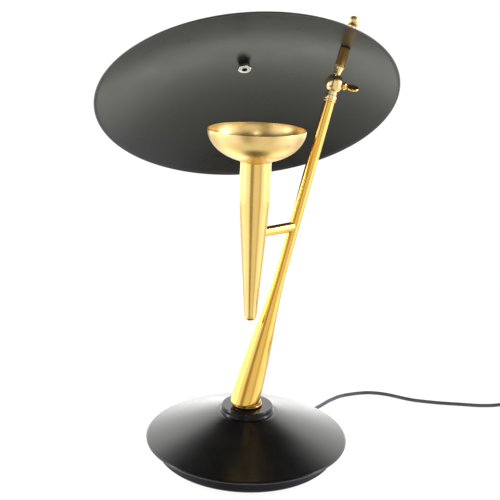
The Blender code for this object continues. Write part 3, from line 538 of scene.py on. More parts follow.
def through(points, step):
    """A smooth curve through 2-D or 3-D points, Catmull-Rom, read about every step mm."""
    p = [Vector(q) for q in points]
    p = [p[0] * 2 - p[1], *p, p[-1] * 2 - p[-2]]
    out = []
    for i in range(1, len(p) - 2):
        k_all = max(1, round((p[i + 1] - p[i]).length / step))
        for k in range(k_all):
            t = k / k_all
            out.append((p[i] * 2 + (p[i + 1] - p[i - 1]) * t + (p[i - 1] * 2 - p[i] * 5 + p[i + 1] * 4 - p[i + 2]) * t * t + (p[i] * 3 - p[i - 1] - p[i + 1] * 3 + p[i + 2]) * t**3) / 2)
    out.append(p[-2])
    return out


def even_line(points, spacing):
    """A smooth curve through the points, read at an even spacing."""
    fine = through(points, 0.4)
    total = sum((b - a).length for a, b in zip(fine, fine[1:]))
    steps = max(2, round(total / spacing))
    line, run, want = [fine[0]], 0.0, total / steps
    for a, b in zip(fine, fine[1:]):
        step = (b - a).length
        while run + step >= want - 1e-9 and len(line) < steps:
            line.append(a.lerp(b, (want - run) / step))
            want += total / steps
        run += step
    line.append(fine[-1])
    return line


def lathe(name, profile, look, n=96, at=(0, 0, 0), axis=Z, sharp=32, weighted=True):
    """A turned piece from (radius, height) points. It is a ring when the outline never meets the axis."""
    body = [tuple(p) for p in profile]
    first = last = None
    if body[0][0] < 1e-9:
        first = Vector((0, 0, body.pop(0)[1]))
    if body[-1][0] < 1e-9:
        last = Vector((0, 0, body.pop()[1]))
    rings = [circle((0, 0, h), X, Y, r, r, n) for r, h in body]
    points, faces = loft(rings, closed=first is None, first=first, last=last)
    return solid(name, points, faces, look, frame_at(at, axis), True, sharp, weighted)


def rod_between(start, end, radius, n=48):
    start, end = Vector(start), Vector(end)
    length = (end - start).length
    return lathe("tool", [(0, 0), (radius, 0), (radius, length), (0, length)], None, n=n, at=start, axis=end - start)


def block(name, centre, along, size, look=None, ease=0.0):
    along = Vector(along).normalized()
    side = Z.cross(along)
    centre = Vector(centre)
    pts = [centre + along * (sx * size[0] / 2) + side * (sy * size[1] / 2) + Z * (sz * size[2] / 2) for sz in (-1, 1) for sy, sx in ((-1, -1), (-1, 1), (1, 1), (1, -1))]
    faces = [(0, 3, 2, 1), (4, 5, 6, 7), (0, 1, 5, 4), (1, 2, 6, 5), (2, 3, 7, 6), (3, 0, 4, 7)]
    obj = solid(name, pts, faces, look)
    if ease:
        soften(obj, ease, 3)
    return obj


def soften(obj, width, steps=3, angle=30):
    b = obj.modifiers.new("edges", "BEVEL")
    b.width = width * MM
    b.segments = steps
    b.limit_method = "ANGLE"
    b.angle_limit = math.radians(angle)
    b.harden_normals = False
    graph = bpy.context.evaluated_depsgraph_get()
    mesh = bpy.data.meshes.new_from_object(obj.evaluated_get(graph), depsgraph=graph)
    obj.modifiers.clear()
    old, obj.data = obj.data, mesh
    bpy.data.meshes.remove(old)
    mesh.name = obj.name
    return obj


def tube(name, points, radius, look, sides=5, cyclic=False):
    """A cord or wire as a bevelled curve with filled ends."""
    curve = bpy.data.curves.new(name, "CURVE")
    curve.dimensions = "3D"
    curve.bevel_depth = radius * MM
    curve.bevel_resolution = sides
    curve.use_fill_caps = True
    spline = curve.splines.new("POLY")
    spline.points.add(len(points) - 1)
    for p, q in zip(spline.points, points):
        p.co = (*(Vector(q) * MM), 1)
    spline.use_smooth = True
    obj = bpy.data.objects.new(name, curve)
    bpy.context.scene.collection.objects.link(obj)
    curve.materials.append(LOOKS[look])
    return obj


def hexagon(name, flats, bore, low, high, look, at, axis, n=144):
    """A hexagon nut whose corners are chamfered on both faces."""
    most = flats / 2 * 1.01
    slope = math.tan(math.radians(28))

    def radius(j):
        inside = (2 * math.pi * j / n + math.pi / 6) % (math.pi / 3) - math.pi / 6
        return flats / 2 / math.cos(inside)

    rings = [[] for _ in range(8)]
    for j in range(n):
        a = 2 * math.pi * j / n
        r = radius(j)
        drop = max(0.0, r - most) * slope
        spots = [(bore, low + 0.5), (bore + 0.5, low), (min(r, most), low), (r, low + drop + 0.02), (r, high - drop - 0.02), (min(r, most), high), (bore + 0.5, high), (bore, high - 0.5)]
        for ring, (rr, h) in zip(rings, spots):
            ring.append(Vector((rr * math.cos(a), rr * math.sin(a), h)))
    points, faces = loft(rings, closed=True)
    return solid(name, points, faces, look, frame_at(at, axis), True, 20)


def oval(centre, u, v, a, b, power, n=96):
    points = []
    for j in range(n):
        c, s = math.cos(2 * math.pi * (j + 0.5) / n), math.sin(2 * math.pi * (j + 0.5) / n)
        points.append(Vector(centre) + u * (a * math.copysign(abs(c) ** (2 / power), c)) + v * (b * math.copysign(abs(s) ** (2 / power), s)))
    return points


# Cord: one length of round flex from the base, through the in-line switch, into its coil and on to the plug

relief_tip = OUT * RELIEF_TIP_S + Z * (CORD_EXIT_Z - RELIEF_DROP)
tip_slope = -2 * RELIEF_DROP / (RELIEF_TIP_S - PLINTH_R)
switch_mid = table(*SWITCH_AT, SWITCH_Z)
switch_in = switch_mid - ACROSS * (SWITCH_HALF + GAP)
switch_out = switch_mid + ACROSS * (SWITCH_HALF + GAP)
run_1 = [
    relief_tip - (OUT + Z * tip_slope) * 3,
    relief_tip + (OUT + Z * tip_slope) * GAP,
    relief_tip + OUT * 7 + Z * (tip_slope * 7 - 0.45),
    relief_tip + OUT * 15 + Z * (tip_slope * 15 - 1.6),
    table(84.5, 108.7, 2.6),
    table(93.8, 121.8),
    table(103.5, 134.2),
    table(119.8, 148.8),
    table(148.9, 159.8),
    table(173.0, 157.8),
    table(200.0, 145.2),
    table(213.7, 140.9),
    table(238.0, 136.8),
    table(264.0, 134.8),
    table(286.0, 132.6, 2.5),
    table(302.0, 130.2, 4.2),
    table(313.0, 128.4, 6.6),
    switch_in,
    switch_out,
    table(386.5, 127.2, 6.9),
    table(395.0, 122.5, 4.8),
    table(400.6, 113.5, 3.2),
    table(402.6, 103.0, 2.6),
    table(402.4, 91.0, 2.8),
]
COIL_R1, COIL_R0 = 34.95, 17.1
LAYER_LOW, LAYER_HIGH = 3.12, 7.72


def coil_spot(turns):
    """A point on the coil after so many turns: in on the lower layer, up, and out on the upper one."""
    if turns < 4:
        r = COIL_R1 - (COIL_R1 - COIL_R0) * turns / 4
    else:
        r = COIL_R0 + (COIL_R1 - COIL_R0) * max(0.0, turns - 4.15) / 3.85
    t = min(1.0, max(0.0, (turns - 3.84) / 0.34))
    z = LAYER_LOW + (LAYER_HIGH - LAYER_LOW) * t * t * (3 - 2 * t)
    a = -2 * math.pi * turns
    return table(COIL_AT[0] + r * math.cos(a), COIL_AT[1] + r * math.sin(a), z)


plug_dir = (ACROSS * 0.06 - AWAY).normalized()
plug_side = Z.cross(plug_dir)
plug_start = table(*PLUG_AT, PLUG_Z)
coil_line = [coil_spot(k / 24) for k in range(0, 8 * 24 + 1)]
run_3 = [table(402.1, 62.0, 7.6), plug_start + plug_dir * 0.6, plug_start + plug_dir * 4]
cord_line = even_line(run_1 + coil_line + run_3, 3.0)
cord = tube("mains_cord", cord_line, CORD_R, "cord_sheath", 5)
done(cord, "lamp", "cord_run_1", "cord_run_2", "cord_coil")

# Strain relief: a tapered, ribbed sleeve with a flange against the plinth


def relief_ring(s, radius, n=48):
    out = max(0, s - PLINTH_R)
    span = RELIEF_TIP_S - PLINTH_R
    slope = -2 * RELIEF_DROP * out / span**2
    up = Vector((-OUT.x * slope, -OUT.y * slope, 1)).normalized()
    return circle(OUT * s + Z * (CORD_EXIT_Z - RELIEF_DROP * (out / span) ** 2), Z.cross(OUT), up, radius, radius, n)


stations = [(86.4, 5.0), (86.8, 5.3), (88.6, 5.3), (88.6, 4.4), (96.8, 4.4), (96.8, 6.1), (97.0, 6.4), (97.4, 6.5), (98.3, 6.45), (98.7, 6.2), (99.2, 5.0)]
s = 99.6
while s < RELIEF_TIP_S - 1.2:
    body_r = 4.65 - (s - 99.4) / (RELIEF_TIP_S - 99.4) * 1.55
    k = (s - 99.6) % 3.0
    stations.append((s, body_r - (0.55 if 1.1 <= k < 2.1 else 0.0)))
    s += 0.25
stations += [(RELIEF_TIP_S - 0.7, 3.05), (RELIEF_TIP_S - 0.2, 2.9), (RELIEF_TIP_S, 2.6)]
points, faces = loft([relief_ring(s, r) for s, r in stations], first=OUT * 86.4 + Z * CORD_EXIT_Z, last=OUT * RELIEF_TIP_S + Z * (CORD_EXIT_Z - RELIEF_DROP))
relief = done(solid("strain_relief", points, faces, "black_rubber", frame_at(OUT * 92 + Z * CORD_EXIT_Z, OUT), sharp=50), "lamp", "cord_strain_relief")

# In-line switch

switch_foot = table(*SWITCH_AT, 0)
switch_frame = frame_at(switch_foot, Z, ACROSS)


def shell(name, sections):
    rings = [oval(switch_foot + Z * z, ACROSS, AWAY, a, b, 3.4) for z, a, b in sections]
    points, faces = loft(rings, first=switch_foot + Z * sections[0][0], last=switch_foot + Z * sections[-1][0])
    return solid(name, points, faces, "black_plastic", switch_frame, sharp=38)


def rounded_sections(low, high, a, b, r_low, r_high, taper=0.0, steps=7):
    """Sections of a moulded half shell with rounded lower and upper edges."""
    out = []
    for i in range(steps + 1):
        t = math.pi / 2 * i / steps
        if r_low:
            out.append((low + r_low * (1 - math.cos(t)), a - r_low * (1 - math.sin(t)), b - r_low * (1 - math.sin(t))))
    if not r_low:
        out.append((low, a, b))
    for i in range(steps + 1):
        t = math.pi / 2 * i / steps
        if r_high:
            out.append((high - r_high * (1 - math.sin(t)), a - taper - r_high * (1 - math.cos(t)), b - taper - r_high * (1 - math.cos(t))))
    if not r_high:
        out.append((high, a, b))
    return out


PIVOT_Z = 12.3
pivot = switch_foot + Z * PIVOT_Z
lower_shell = shell("switch_lower_shell", rounded_sections(0.25, SWITCH_Z - GAP / 2, SWITCH_HALF, 13.5, 1.6, 0.25))
upper_shell = shell("switch_upper_shell", rounded_sections(SWITCH_Z + GAP / 2, 17.8, SWITCH_HALF, 13.5, 0.25, 3.2, 0.2))
carve(upper_shell, block("tool", pivot + Z * 2.2, ACROSS, (20.6, 9.8, 12.6)))
carve(upper_shell, rod_between(pivot - AWAY * 6.4, pivot + AWAY * 6.4, 1.6))
for part in (lower_shell, upper_shell):
    for way in (-1, 1):
        carve(part, rod_between(switch_mid + ACROSS * (way * 24), switch_mid + ACROSS * (way * 31), 2.35))
lower_shell = done(lower_shell, "lamp", "switch_lower")
upper_shell = done(upper_shell, "lamp", "switch_upper")

ROCK = math.radians(7)
top_line = [(9.5 - 0.1, 2), (9.3, 4.5), (8.9, 6.5)] + [(x, 5.55 + 0.0105 * x * x) for x in [8.5 - 17 * i / 14 for i in range(15)]] + [(-8.9, 6.5), (-9.3, 4.5), (-9.4, 2)]
side = [(-6, -3), (6, -3)] + top_line
rings = []
for half in (-4.5, 4.5):
    rings.append([pivot + AWAY * half + ACROSS * (x * math.cos(ROCK) + h * math.sin(ROCK)) + Z * (h * math.cos(ROCK) - x * math.sin(ROCK)) for x, h in side])
n = len(side)
faces = [(i, (i + 1) % n, n + (i + 1) % n, n + i) for i in range(n)] + [tuple(range(n)), tuple(range(2 * n - 1, n - 1, -1))]
rocker = solid("rocker", rings[0] + rings[1], faces, "black_plastic", frame_at(pivot, Z, ACROSS), sharp=30)
soften(rocker, 0.35, 3, 35)
carve(rocker, rod_between(pivot - AWAY * 5.9, pivot + AWAY * 5.9, 1.2), "UNION")
rocker = done(rocker, "rocker", "switch_rocker")
tip = Vector((math.cos(ROCK), 0, -math.sin(ROCK)))
dot_at = pivot + ACROSS * (6.0 * math.cos(ROCK) + 5.9 * math.sin(ROCK)) + Z * (5.9 * math.cos(ROCK) - 6.0 * math.sin(ROCK))
dot_up = ACROSS * math.sin(ROCK - 0.126) + Z * math.cos(ROCK - 0.126)
rocker_dot = done(lathe("rocker_dot", eased([(0, -0.35), (1.15, -0.35), (1.15, 0.12), (0, 0.16)], 0.08), "mark", n=32, at=dot_at, axis=dot_up), "rocker")

# Two-pin plug, with finger grips, and its pins

plug_frame = frame_at(plug_start, plug_dir, plug_side)
sections = [(0, 2.75, 2.75, 2)]
for i in range(29):
    s = 0.25 + i * 0.32
    ribbed = 0.5 if 1.0 < (s % 2.6) < 1.9 else 0.0
    sections.append((s, 3.15 + s * 0.19 - ribbed, 3.15 + s * 0.13 - ribbed, 2.05))
body_line = [Vector((9.6, 5.9, 4.6)), Vector((10.8, 9.0, 5.35)), Vector((13, 12.1, 5.95)), Vector((16, 14.3, 6.3)), Vector((19, 15.6, 6.6)), Vector((26, 16.7, 6.74)), Vector((33, 17.3, 6.8)), Vector((40, 17.6, 6.85))]
for p in through(body_line, 0.5):
    grip = 0.0
    if 19.5 < p.x < 36:
        k = (p.x - 19.5) % 2.9
        grip = 0.55 * max(0.0, math.sin(math.pi * min(1.0, k / 1.9))) if k < 1.9 else 0.0
    sections.append((p.x, p.y - grip, p.z, 2.3 + min(1.3, (p.x - 9.6) * 0.09)))
sections += [(41.2, 17.6, 6.83, 3.6), (42.0, 17.4, 6.65, 3.6), (42.6, 17.0, 6.25, 3.5), (42.9, 16.6, 5.85, 3.45), (43, 16.1, 5.4, 3.4)]
rings = [oval(plug_start + plug_dir * s, plug_side, Z, a, b, p) for s, a, b, p in sections]
points, faces = loft(rings, first=plug_start, last=plug_start + plug_dir * 43)
plug = solid("plug_moulding", points, faces, "black_plastic", plug_frame, sharp=50)
for i, way in ((1, -1), (2, 1)):
    foot = plug_start + plug_side * (9.3 * way)
    carve(plug, rod_between(foot + plug_dir * 36, foot + plug_dir * 46, 2.3))
    pin = lathe(f"pin_{i}", eased([(0, 36.4), (2.0, 36.4), (2.0, 61.0), (1.2, 62.2), (0, 62.2)], 0.5), "nickel", n=48, at=foot, axis=plug_dir)
    done(pin, "lamp", f"plug_pin_{i}")
    sleeve = lathe(f"pin_sleeve_{i}", eased([(2.02, 42.6), (2.22, 42.6), (2.22, 52.4), (2.02, 52.4)], 0.08), "black_plastic", n=48, at=foot, axis=plug_dir)
    done(sleeve, "lamp")
plug = done(plug, "lamp", "plug_body")

# Strap round the coil's section, as one closed band

STRAP_HALF = 3.5
tie_dir = -ACROSS
tie_side = Z.cross(tie_dir)
coil_mid = table(*COIL_AT, 0)


def strap_line(grow):
    lo_r, hi_r, lo_z, hi_z = COIL_IN_R - grow, COIL_OUT_R - 0.1 + grow, COIL_LOW - grow, COIL_HIGH + grow
    c = 2.1 + grow
    pts = []
    for cx, cz, start in ((hi_r - c, lo_z + c, -90), (hi_r - c, hi_z - c, 0), (lo_r + c, hi_z - c, 90), (lo_r + c, lo_z + c, 180)):
        pts += [(cx + c * math.cos(math.radians(start + 90 * k / 10)), cz + c * math.sin(math.radians(start + 90 * k / 10))) for k in range(11)]
    return pts


rings = []
for (r0, z0), (r1, z1) in zip(strap_line(0.05), strap_line(0.55)):
    a, b = coil_mid + tie_dir * r0 + Z * z0, coil_mid + tie_dir * r1 + Z * z1
    mid = (a + b) / 2
    rings.append([a - tie_side * (STRAP_HALF - 0.1), a + tie_side * (STRAP_HALF - 0.1), mid + tie_side * STRAP_HALF, b + tie_side * (STRAP_HALF - 0.1), b - tie_side * (STRAP_HALF - 0.1), mid - tie_side * STRAP_HALF])
points, faces = loft(rings, closed=True)
strap = done(solid("coil_strap", points, faces, "strap", frame_at(coil_mid, tie_side, tie_dir), sharp=50), "lamp", "cord_tie")

# Base


def cone_z(r):
    return COVER_TOP_Z - 0.9 - (r - COVER_FLAT_R - 3) * 0.365


done(lathe("felt", eased([(0, 0.05), (93.9, 0.05), (94.5, 0.5), (94.5, 1.3), (0, 1.3)], 0.3), "felt", n=160), "lamp", "felt_pad")

plinth = lathe(
    "plinth",
    eased([(64, 1.6), (PLINTH_R - 0.8, 1.6), (PLINTH_R, 2.4), (PLINTH_R, cone_z(PLINTH_R) - SHEET - 0.45), (89, cone_z(89) - SHEET - 0.45), (89, 3.2), (64, 3.2)], 0.5),
    "plinth_paint",
    n=192,
)
carve(plinth, rod_between(OUT * 82 + Z * CORD_EXIT_Z, OUT * 106 + Z * CORD_EXIT_Z, 4.8))
done(plinth, "lamp", "base_plinth")

cover_out = [(5.45, COVER_TOP_Z), (COVER_FLAT_R - 0.4, COVER_TOP_Z), (33.2, cone_z(33.2))] + [(r, cone_z(r)) for r in (45, 58, 71, 84, 95, 104)] + [(107.8, cone_z(107.8)), (BASE_RIM_R, BASE_RIM_Z)]
cover_in = [(BASE_RIM_R - 0.1, 17.5), (108.2, 17.0), (107.0, 17.7)] + [(r, cone_z(r) - SHEET) for r in (104, 95, 84, 71, 58, 45, 33.2)] + [(30.2, COVER_TOP_Z - SHEET), (5.45, COVER_TOP_Z - SHEET)]
done(lathe("cover", eased(cover_out + cover_in, {None: 0.7, 1: 9.0, 2: 9.0, 9: 3.0, 10: 0.8}, least=4, step=6), "black_paint", n=224), "lamp", "base_cover")

done(
    lathe(
        "collar",
        eased([(5.45, 48.1), (29.1, 48.1), (29.45, 48.2), (COLLAR_R, 50.15), (COLLAR_R, 53.5), (27.0, COLLAR_TOP_Z), (5.45, COLLAR_TOP_Z)], {None: 0.2, 3: 0.35, 4: 0.8, 5: 0.8}, least=6, step=9),
        "collar_paint",
        n=160,
    ),
    "lamp",
    "base_collar",
)
# The ring under the arm's foot takes the brass whose darkened colour is painted shade.
ring_out = through([Vector((15.3, COLLAR_TOP_Z + GAP)), Vector((15.9, 55.3)), Vector((16.25, 56.1)), Vector((15.9, 56.8)), Vector((15.3, 57.4)), Vector((15.2, 58.3)), Vector((15.0, FOOT_Z - GAP))], 0.2)
done(lathe("foot_collar", [(5.45, COLLAR_TOP_Z + GAP)] + [tuple(p) for p in ring_out] + [(5.45, FOOT_Z - GAP)], "shade_darkened_brass_turned", n=96), "lamp", "foot_ring")

# Arm: a drawn tube that leans, with a trumpet foot

FLARE = [(FOOT_Z, 14.6), (59.9, 15.05), (60.5, 15.3), (64, 15.5), (74, 15.45), (98, 14.0), (124.6, 11.75), (144, 9.7), (168, 7.6), (188, 6.3), (206, TUBE_R)]
ARM_TOP_D = 20.0


def arm_axis(z):
    return Vector((0, (z - LEAN_FROM_Z) * math.tan(LEAN), z))


def arm_ring(z, radius, n=96, level=None):
    tip = LEAN * min(1, max(0, (z - FOOT_Z) / 16)) if level is None else level
    v = Vector((0, math.cos(tip), -math.sin(tip)))
    return circle(arm_axis(z), X, v, radius, radius / math.cos(LEAN - tip), n)


arm_top = SWIVEL - ARM_DIR * ARM_TOP_D
v_top = Vector((0, math.cos(LEAN), -math.sin(LEAN)))
outline = through([Vector(p) for p in FLARE[:4]], 0.25)[:-1] + through([Vector(p) for p in FLARE[3:]], 2.4)
bore = [Vector((z, r)) for z, r in reversed(FLARE) if z > 80]
rings = [arm_ring(p.x, min(p.y, 15.45)) for p in outline]
rings += [arm_ring(z, TUBE_R) for z in (220, 240, 260, 280, 300, 320, 340, 360)]
rings += [circle(arm_top - ARM_DIR * d, X, v_top, r, r, 96) for d, r in ((0.55, TUBE_R), (0.4, TUBE_R - 0.04), (0.2, TUBE_R - 0.15), (0.05, TUBE_R - 0.3), (0, TUBE_R - 0.45))]
rings += [circle(arm_top, X, v_top, TUBE_R - TUBE_WALL, TUBE_R - TUBE_WALL, 96)]
rings += [arm_ring(p.x, p.y - TUBE_WALL) for p in bore]
rings += [arm_ring(78, 13.9, level=LEAN)]
rings += [circle(Z * z, X, Y, 5.35, 5.35, 96) for z in (73.6, FOOT_Z)]
points, faces = loft(rings, closed=True)
arm = solid("arm_tube", points, faces, "polished_brass", frame_at(arm_axis(LEAN_FROM_Z), ARM_DIR, X), sharp=34)
BAR_ARM = arm_axis(BAR_Z)
carve(arm, rod_between((0, BAR_ARM.y - 14, BAR_Z), (0, BAR_ARM.y + 0.5, BAR_Z), 3.4))
done(arm, "lamp", "arm")

# Torch, tie bar, bowl and what holds the bulb


def torch_r(z):
    return 6.5 + (TORCH_R - 6.5) * min(1, (z - TORCH_JOIN_Z) / (TORCH_TAPER_TOP_Z - TORCH_JOIN_Z))


def bar_ring(radius, end, n=64, t=0.0):
    points = []
    for j in range(n):
        a = 2 * math.pi * j / n
        x, h = radius * math.cos(a), radius * math.sin(a)
        y_torch = math.sqrt((torch_r(BAR_Z + h) + 0.05) ** 2 - x * x)
        y_arm = BAR_ARM.y + (h * math.sin(LEAN) - math.sqrt((TUBE_R + 0.05) ** 2 - x * x)) / math.cos(LEAN)
        points.append(Vector((x, y_torch + (y_arm - y_torch) * end, BAR_Z + h)))
    return points


steps = [0, 0.01, 0.1, 0.3, 0.5, 0.7, 0.9, 0.99, 1]
points, faces = loft([bar_ring(BAR_R, t) for t in steps] + [bar_ring(BAR_BORE_R, t) for t in reversed(steps)], closed=True)
done(solid("tie_tube", points, faces, "polished_brass", frame_at((0, 30, BAR_Z), Y), sharp=40), "lamp", "tie_bar")

WALL = 1.3
torch = lathe(
    "torch_tube",
    eased(
        [(torch_r(z), z) for z in (TORCH_JOIN_Z, 175, 195, 215, 235, 255, 270)]
        + [(torch_r(TORCH_TAPER_TOP_Z - 3), TORCH_TAPER_TOP_Z - 3), (TORCH_R, TORCH_TAPER_TOP_Z + 2), (TORCH_R, 300), (TORCH_R, TORCH_TOP_Z)]
        + [(TORCH_R - WALL, TORCH_TOP_Z), (TORCH_R - WALL, TORCH_TAPER_TOP_Z + 2)]
        + [(torch_r(z) - WALL, z) for z in (TORCH_TAPER_TOP_Z - 3, TORCH_JOIN_Z)],
        {None: 0.25, 7: 12, 8: 12},
        least=1.5,
        step=3,
    ),
    "satin_brass",
    n=128,
)
carve(torch, rod_between((0, 4, BAR_Z), (0, 22, BAR_Z), 3.4))
done(torch, "lamp", "torch_body")
tip_line = [(6.5 * math.sin(math.radians(a)), 156.2 - 5.2 * math.cos(math.radians(a))) for a in range(0, 91, 6)]
done(lathe("torch_point", [(0, TORCH_TIP_Z)] + tip_line[1:] + [(6.5, TORCH_JOIN_Z - 0.15), (6.35, TORCH_JOIN_Z), (4.6, TORCH_JOIN_Z), (4.6, 165), (0, 165)], "satin_brass_spun", n=96), "lamp", "torch_tip")

deep = [math.radians(69 - 69 * k / 44) for k in range(45)]
bowl_out = [(BOWL_R * math.cos(u), BOWL_RIM_Z - BOWL_DEPTH * math.sin(u)) for u in deep]
bowl_in = [((BOWL_R - 1.2) * math.cos(u), BOWL_RIM_Z - (BOWL_DEPTH - 1.2) * math.sin(u)) for u in reversed(deep)]
rim_c = BOWL_R - 0.6
rim_top = [(rim_c + 0.6 * math.cos(math.radians(a)), BOWL_RIM_Z + 0.45 * math.sin(math.radians(a))) for a in range(15, 180, 15)]
done(lathe("bowl_spinning", [(13.3, TORCH_TOP_Z + 0.1), (16.6, TORCH_TOP_Z + 0.1)] + bowl_out + rim_top + bowl_in + [(13.3, 323.9)], "satin_brass_spun", n=192, sharp=40), "lamp", "bowl")
done(lathe("bowl_clamp", eased([(11.6, 306), (12.9, 306), (12.9, 325.0), (16.9, 325.0), (16.7, 326.5), (11.6, 326.5)], 0.35), "satin_brass_spun", n=96), "lamp", "bowl_ring")
done(lathe("holder_ceramic", eased([(0, 309), (7.3, 309), (7.3, 319.5), (10.3, 319.5), (10.8, 319), (10.8, 298), (10.2, 297.3), (0, 297.3)], 0.4), "ceramic", n=72), "lamp", "lampholder")
done(lathe("bulb_foot", eased([(0, 309.5), (6.6, 309.5), (6.9, 310), (6.9, 320.2), (6.2, 320.8), (0, 320.8)], 0.5), "ceramic", n=72), "bulb", "bulb_cap")

glass_out = [tuple(p) for p in through([Vector(q) for q in ((5.4, 321.1), (6.2, 321.9), (6.5, 324), (6.5, 330), (6.5, 337), (5.85, 340), (4.1, 342.6), (1.9, 343.85))], 0.5)]
n = 72
outer = [circle((0, 0, h), X, Y, r, r, n) for r, h in glass_out]
inner = [circle((0, 0, h), X, Y, r - 0.8, r - 0.8, n) for r, h in glass_out if 322.3 < h < 342.6]
p1, f1 = loft(outer, first=Vector((0, 0, 321.1)), last=Vector((0, 0, 344.1)))
p2, f2 = loft(inner, first=Vector((0, 0, 322.3)), last=Vector((0, 0, 343.2)))
envelope = solid("bulb_envelope", p1, f1, "clear_glass", frame_at((0, 0, 0), Z, X), True, 60)
hollow = solid("tool", p2, f2, None, frame_at((0, 0, 0), Z, X), True, 60)
carve(envelope, hollow)
done(envelope, "bulb", "bulb_capsule")
coil = []
for k in range(0, 12 * 16 + 1):
    t = k / (12 * 16)
    a = 2 * math.pi * 12 * t
    coil.append(Vector((-2.6 + 5.2 * t, 0.75 * math.cos(a), 334 + 0.75 * math.sin(a))))
done(tube("bulb_filament", [Vector((-2.9, 0, 322.6)), Vector((-2.9, 0, 333)), Vector((-2.75, 0.4, 334.4))] + coil + [Vector((2.75, 0.4, 334.4)), Vector((2.9, 0, 333)), Vector((2.9, 0, 322.6))], 0.16, "tungsten", 2), "bulb")

# Ball joint, in two halves clamped by the thumb screw

SPLIT = 0.5


def half_ball(name, way, radius, flat, look=None, n=96, steps=22):
    start = math.asin(max(0.0, flat) / radius) if flat > 0 else math.asin(flat / radius)
    profile = [(0, flat)] + [(radius * math.cos(start + (math.pi / 2 - start) * i / steps), radius * math.sin(start + (math.pi / 2 - start) * i / steps)) for i in range(steps)]
    return lathe(name, profile + [(0, radius)], look, n=n, at=SWIVEL, axis=way)


lower = lathe(
    "joint_lower",
    eased([(0, 5), (5.5, 5), (5.85, 9.5), (6.05, 12.6), (6.75, 13.4), (6.95, 15.2), (6.75, 17.0), (6.2, 17.6), (6.75, 18.2), (6.7, ARM_TOP_D - 0.06), (4.3, ARM_TOP_D - 0.06), (4.3, 28), (0, 28)], 0.4, step=12),
    "joint_brass",
    n=96,
    at=SWIVEL,
    axis=-ARM_DIR,
    sharp=30,
)
carve(lower, half_ball("tool", -HINGE, BALL_R, SPLIT), "UNION")
carve(lower, half_ball("tool", HINGE, BALL_R + 0.45, 0.03 - SPLIT))
carve(lower, rod_between(SWIVEL - HINGE * 7.5, SWIVEL + HINGE * 1, 2.9))
done(lower, "lamp", "swivel_lower")

upper = lathe(
    "joint_upper",
    eased([(0, 5), (3.9, 5), (3.9, 10.2), (4.1, 12.6), (4.7, 15.6), (5.4, 17.8), (5.3, 18.6), (3.0, 18.6), (3.0, 26), (0, 26)], {None: 0.3, 3: 6.0, 4: 6.0}, least=4, step=6),
    "joint_brass",
    n=96,
    at=SWIVEL,
    axis=ROD_DIR,
    sharp=30,
)
carve(upper, half_ball("tool", HINGE, BALL_R, SPLIT), "UNION")
carve(upper, half_ball("tool", -HINGE, BALL_R + 0.45, 0.03 - SPLIT))
carve(upper, rod_between(SWIVEL - HINGE * 2, SWIVEL + HINGE * 12, 2.9))
done(upper, "head", "swivel_upper")
done(lathe("joint_washer", eased([(2.9, -0.28), (7.8, -0.28), (7.8, 0.28), (2.9, 0.28)], 0.1), "steel", n=64, at=SWIVEL, axis=HINGE), "head", "swivel_washer")

wing_u = (Z - HINGE * HINGE.z).normalized()
wing_v = HINGE.cross(wing_u)
wing_side = turned(wing_v, HINGE, math.radians(18))
wing_flat = HINGE.cross(wing_side)
shank = [(-6.2, 2.0, 2.0), (-5.8, 2.45, 2.45), (10.25, 2.45, 2.45), (10.35, 3.4, 3.4), (10.45, 3.9, 3.9), (10.8, 4.25, 4.25), (11.6, 4.35, 4.35), (12.4, 4.2, 4.2)]
wing = through([Vector(q) for q in ((12.4, 4.2, 4.2), (13.4, 3.4, 3.2), (14.4, 3.2, 2.5), (15.4, 4.3, 2.15), (17.0, 5.5, 2.1), (19.4, 6.4, 2.1), (22.0, 6.4, 2.0), (24.4, 5.3, 1.8), (26.0, 3.7, 1.4), (26.9, 1.6, 0.8), (27.15, 0.7, 0.4))], 0.35)
rings = [circle(SWIVEL + HINGE * s, wing_side, wing_flat, a, b, 48) for s, a, b in shank]
rings += [oval(SWIVEL + HINGE * p.x, wing_side, wing_flat, min(p.y, 6.5), p.z, 2.0 + 0.35 * min(1.0, max(0.0, (p.x - 14) / 4)), 48) for p in wing[1:]]
points, faces = loft(rings, first=SWIVEL + HINGE * -6.2, last=SWIVEL + HINGE * 27.2)
done(solid("wing_screw", points, faces, "polished_brass_turned", frame_at(SWIVEL, HINGE, wing_side), sharp=45), "thumb_screw", "thumb_screw")

# Rod, washers and finial

done(lathe("rod", eased([(0, 27), (3.4, 27), (3.4, 18.8), (5.2, 18.8), (ROD_R, 19.1), (ROD_R, 30), (ROD_R, 39.7), (5.2, 40.1), (3.0, 40.1), (3.0, 62), (0, 62.4)], 0.25), "rod_brass", n=96, at=SWIVEL, axis=ROD_DIR), "head", "reflector_rod")
done(lathe("rod_washer", eased([(3.4, 40.2), (5.5, 40.2), (5.5, 41.35), (3.4, 41.35)], 0.25), "black_rubber", n=72, at=SWIVEL, axis=ROD_DIR), "dish", "lower_washer")
done(lathe("dish_washer", eased([(3.4, 42.7), (6.6, 42.7), (6.6, 43.5), (3.4, 43.5)], 0.2), "steel", n=72, at=SWIVEL, axis=ROD_DIR), "dish", "upper_washer")
ball = [(FINIAL_R * math.cos(math.radians(u)), FINIAL_S + FINIAL_R * math.sin(math.radians(u))) for u in range(-58, 90, 6)]
done(
    lathe(
        "finial_ball",
        eased([(0, 63.4), (3.3, 63.4), (3.3, 43.7), (6.3, 43.7), (6.3, 45.2), (5.5, 46), (5.5, 60), (3.6, 62.8), (3.35, 65.0)] + ball + [(0, FINIAL_S + FINIAL_R)], {None: 0.35, 7: 2.0, 8: 2.0}, least=12, step=10),
        "finial_brass",
        n=96,
        at=SWIVEL,
        axis=ROD_DIR,
        sharp=40,
    ),
    "finial",
    "finial",
)

# Dish, and the fitting in its middle

rim_angle = math.degrees(math.asin(DISH_R / DOME_R))
hole_angle = math.degrees(math.asin(5.45 / DOME_R))


